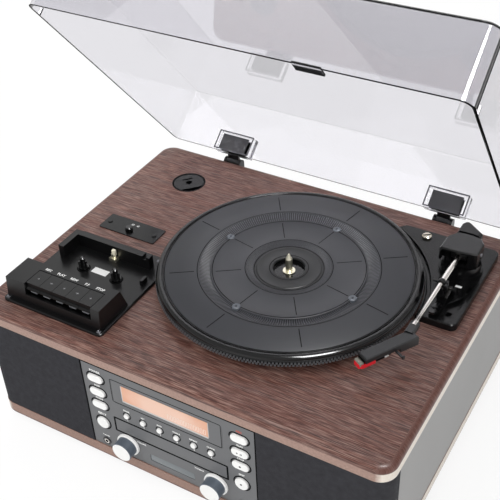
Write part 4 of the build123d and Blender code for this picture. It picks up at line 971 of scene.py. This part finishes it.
lid = {
    "tilt": 50.6,
    "hinge": (0, 182.5, -6.3),
    "rimBack": 11.9,  # from the hinge to the back of the rim, along the lid and across it
    "rimAway": 7.3,
    "width": 440.6,
    "deep": 342.0,
    "tabAt": (77.5, 330.9, 1.0),
    "tabSize": (27.0, 9.6, 1.5),
    "rimInset": 0.4,
    "rimCorner": 12.0,
    "rimLine": 1.4,
    "rimThick": 0.1,
    "rimHeight": -0.06,
    "edgeTop": 66.4,
    "edgeBack": 1.6,  # from the front of the lid
    "edgeShort": 34,
    "edgeSize": (3.2, 0.9),
    "edgeTurn": 45,
    "cornerIn": 0.8,
    "cornerBack": 14.0,
    "cornerSize": 2.0,
    "bevel": 0.3,
}
tilt = math.radians(lid["tilt"])


def onLid(x, along, height):  # a place on the lid's tipped rim plane, in millimetres
    back = lid["rimBack"] + along
    away = lid["rimAway"] + height
    return at(*lid["hinge"]) + Vector((x, away * math.sin(tilt) - back * math.cos(tilt),
                                       back * math.sin(tilt) + away * math.cos(tilt))) * mm


def tipToLid(bm, x, along, height):  # tips what was drawn level, with y towards the hinge, onto the lid
    turnVerts(bm, bm.verts[:], -lid["tilt"], "X")
    bmesh.ops.translate(bm, vec=onLid(x, along, height), verts=bm.verts[:])


blockPiece("lidTab", onLid(*lid["tabAt"]), lid["tabSize"], blackMoulded, "lid", "black_plastic",
           bevel=lid["bevel"], turnX=-lid["tilt"])

bm = bmesh.new()  # dark edge of the acrylic all round its rim
addOutline(bm, 0, 0, lid["width"] - lid["rimInset"], lid["deep"] - lid["rimInset"], lid["rimCorner"],
           lid["rimLine"])
raiseFlat(bm, lid["rimThick"])
tipToLid(bm, 0, lid["deep"] / 2, lid["rimHeight"])
finishPiece("lidRimLine", bm, darkLinesAndShade, "lid")

bm = bmesh.new()  # dark edge where the front wall meets the top, and down the right corner
addBlock(bm, onLid(0, lid["deep"] - lid["edgeBack"], lid["edgeTop"]),
         (lid["width"] - lid["edgeShort"], *lid["edgeSize"]), bevel=lid["bevel"],
         turnX=lid["edgeTurn"] - lid["tilt"])
corner = onLid(lid["width"] / 2 - lid["cornerIn"], lid["deep"] - lid["cornerBack"], lid["edgeTop"] / 2)
addBlock(bm, corner, (lid["cornerSize"], lid["cornerSize"], lid["edgeTop"] - lid["cornerSize"]),
         bevel=lid["bevel"], turnX=-lid["tilt"])
finishPiece("lidTopLine", bm, darkLinesAndShade, "lid")

pocket = {
    "x": 136.5,
    "frame": (48.0, 24.5, 1.0, 1.7),  # width, height, corner radius and line
    "frameAlong": 7.5,
    "frameThick": 0.12,
    "leafAlong": 6.45,
    "leafUp": 10.8,
    "leafSize": (36.0, 0.2, 20.0),
}
for side, name in ((-1, "left"), (1, "right")):  # hinge pockets: dark leaf in a bevelled frame
    bm = bmesh.new()
    addOutline(bm, 0, 0, *pocket["frame"])
    raiseFlat(bm, pocket["frameThick"])
    turnVerts(bm, bm.verts[:], 90, "X")
    tipToLid(bm, side * pocket["x"], pocket["frameAlong"], pocket["frame"][1] / 2)
    finishPiece(f"pocketFrame.{name}", bm, smokeEdge, "lid")
    leafMiddle = onLid(side * pocket["x"], pocket["leafAlong"], pocket["leafUp"])
    blockPiece(f"pocketPlate.{name}", leafMiddle, pocket["leafSize"], leafGrey, "lid", "black_plastic",
               turnX=-lid["tilt"])
print("lid detailed")


# studio: pale floor and backdrop, soft lamps

studio = {
    "floorSize": 8.0,
    "paper": 0.8,  # how much of the paper's look is its own light
    "paperGlow": 1.06,
    "world": 0.55,
    "target": (0, 0, 0.15),
    "lamps": (  # name, watts, place, size in metres, seen in gloss, lights matt surfaces
        ("keyLamp", 13.2, (-0.9, -1.1, 1.9), 1.4, False, True),
        ("sideLamp", 5.4, (1.7, -0.7, 0.6), 0.9, False, True),
        ("frontLamp", 5.5, (-0.15, -1.3, 1.0), 0.9, False, True),
        ("edgeLamp", 50.0, (0.87, -0.59, 1.74), 0.7, True, False),
        ("skyPanel", 8.9, (-0.95, 1.5, 1.5), 1.8, True, True),
    ),
}
floorMesh = bpy.data.meshes.new("studioFloor")
bm = bmesh.new()
bmesh.ops.create_grid(bm, x_segments=1, y_segments=1, size=studio["floorSize"])
bm.to_mesh(floorMesh)
bm.free()
floor = bpy.data.objects.new("studioFloor", floorMesh)
bpy.context.scene.collection.objects.link(floor)
paper, tree, shader, coords = startMaterial("studioPaper", "#f2f2f2", 0.9)
light = addNode(tree, "LightPath").outputs
shine = addNode(tree, "Emission", {"Color": toLinear("#ffffff"), "Strength": studio["paperGlow"]})
seen = addNode(tree, "Math", {"operation": "MAXIMUM"},
               {0: light["Is Glossy Ray"], 1: light["Is Transmission Ray"]}).outputs[0]
seen = addNode(tree, "Math", {"operation": "MAXIMUM"}, {0: seen, 1: light["Is Camera Ray"]}).outputs[0]
half = addNode(tree, "Math", {"operation": "MULTIPLY", 1: studio["paper"]}, {0: seen}).outputs[0]
mixed = addNode(tree, "MixShader", links={0: half, 1: shader.outputs[0], 2: shine.outputs[0]})
tree.links.new(mixed.outputs[0], tree.nodes["Material Output"].inputs["Surface"])
floorMesh.materials.append(paper)

world = bpy.data.worlds.new("studioWorld")
bpy.context.scene.world = world
world.use_nodes = True
tree = world.node_tree
light = addNode(tree, "LightPath").outputs
seen = addNode(tree, "Math", {"operation": "MAXIMUM"},
               {0: light["Is Camera Ray"], 1: light["Is Transmission Ray"]}).outputs[0]
strength = addNode(tree, "MapRange", {"To Min": studio["world"], "To Max": 1.0}, {"Value": seen})
tree.links.new(strength.outputs[0], tree.nodes["Background"].inputs["Strength"])
tree.nodes["Background"].inputs["Color"].default_value = (1, 1, 1, 1)

for name, power, place, size, inGloss, onMatt in studio["lamps"]:
    lampData = bpy.data.lights.new(name, "AREA")
    lampData.energy = power
    lampData.size = size
    lamp = bpy.data.objects.new(name, lampData)
    lamp.visible_glossy = inGloss
    lamp.visible_diffuse = onMatt
    lamp.location = place
    lamp.rotation_mode = "QUATERNION"
    lamp.rotation_quaternion = (Vector(studio["target"]) - Vector(place)).to_track_quat("-Z", "Y")
    bpy.context.scene.collection.objects.link(lamp)
bpy.context.scene.view_settings.view_transform = "Standard"
print("studio lit")
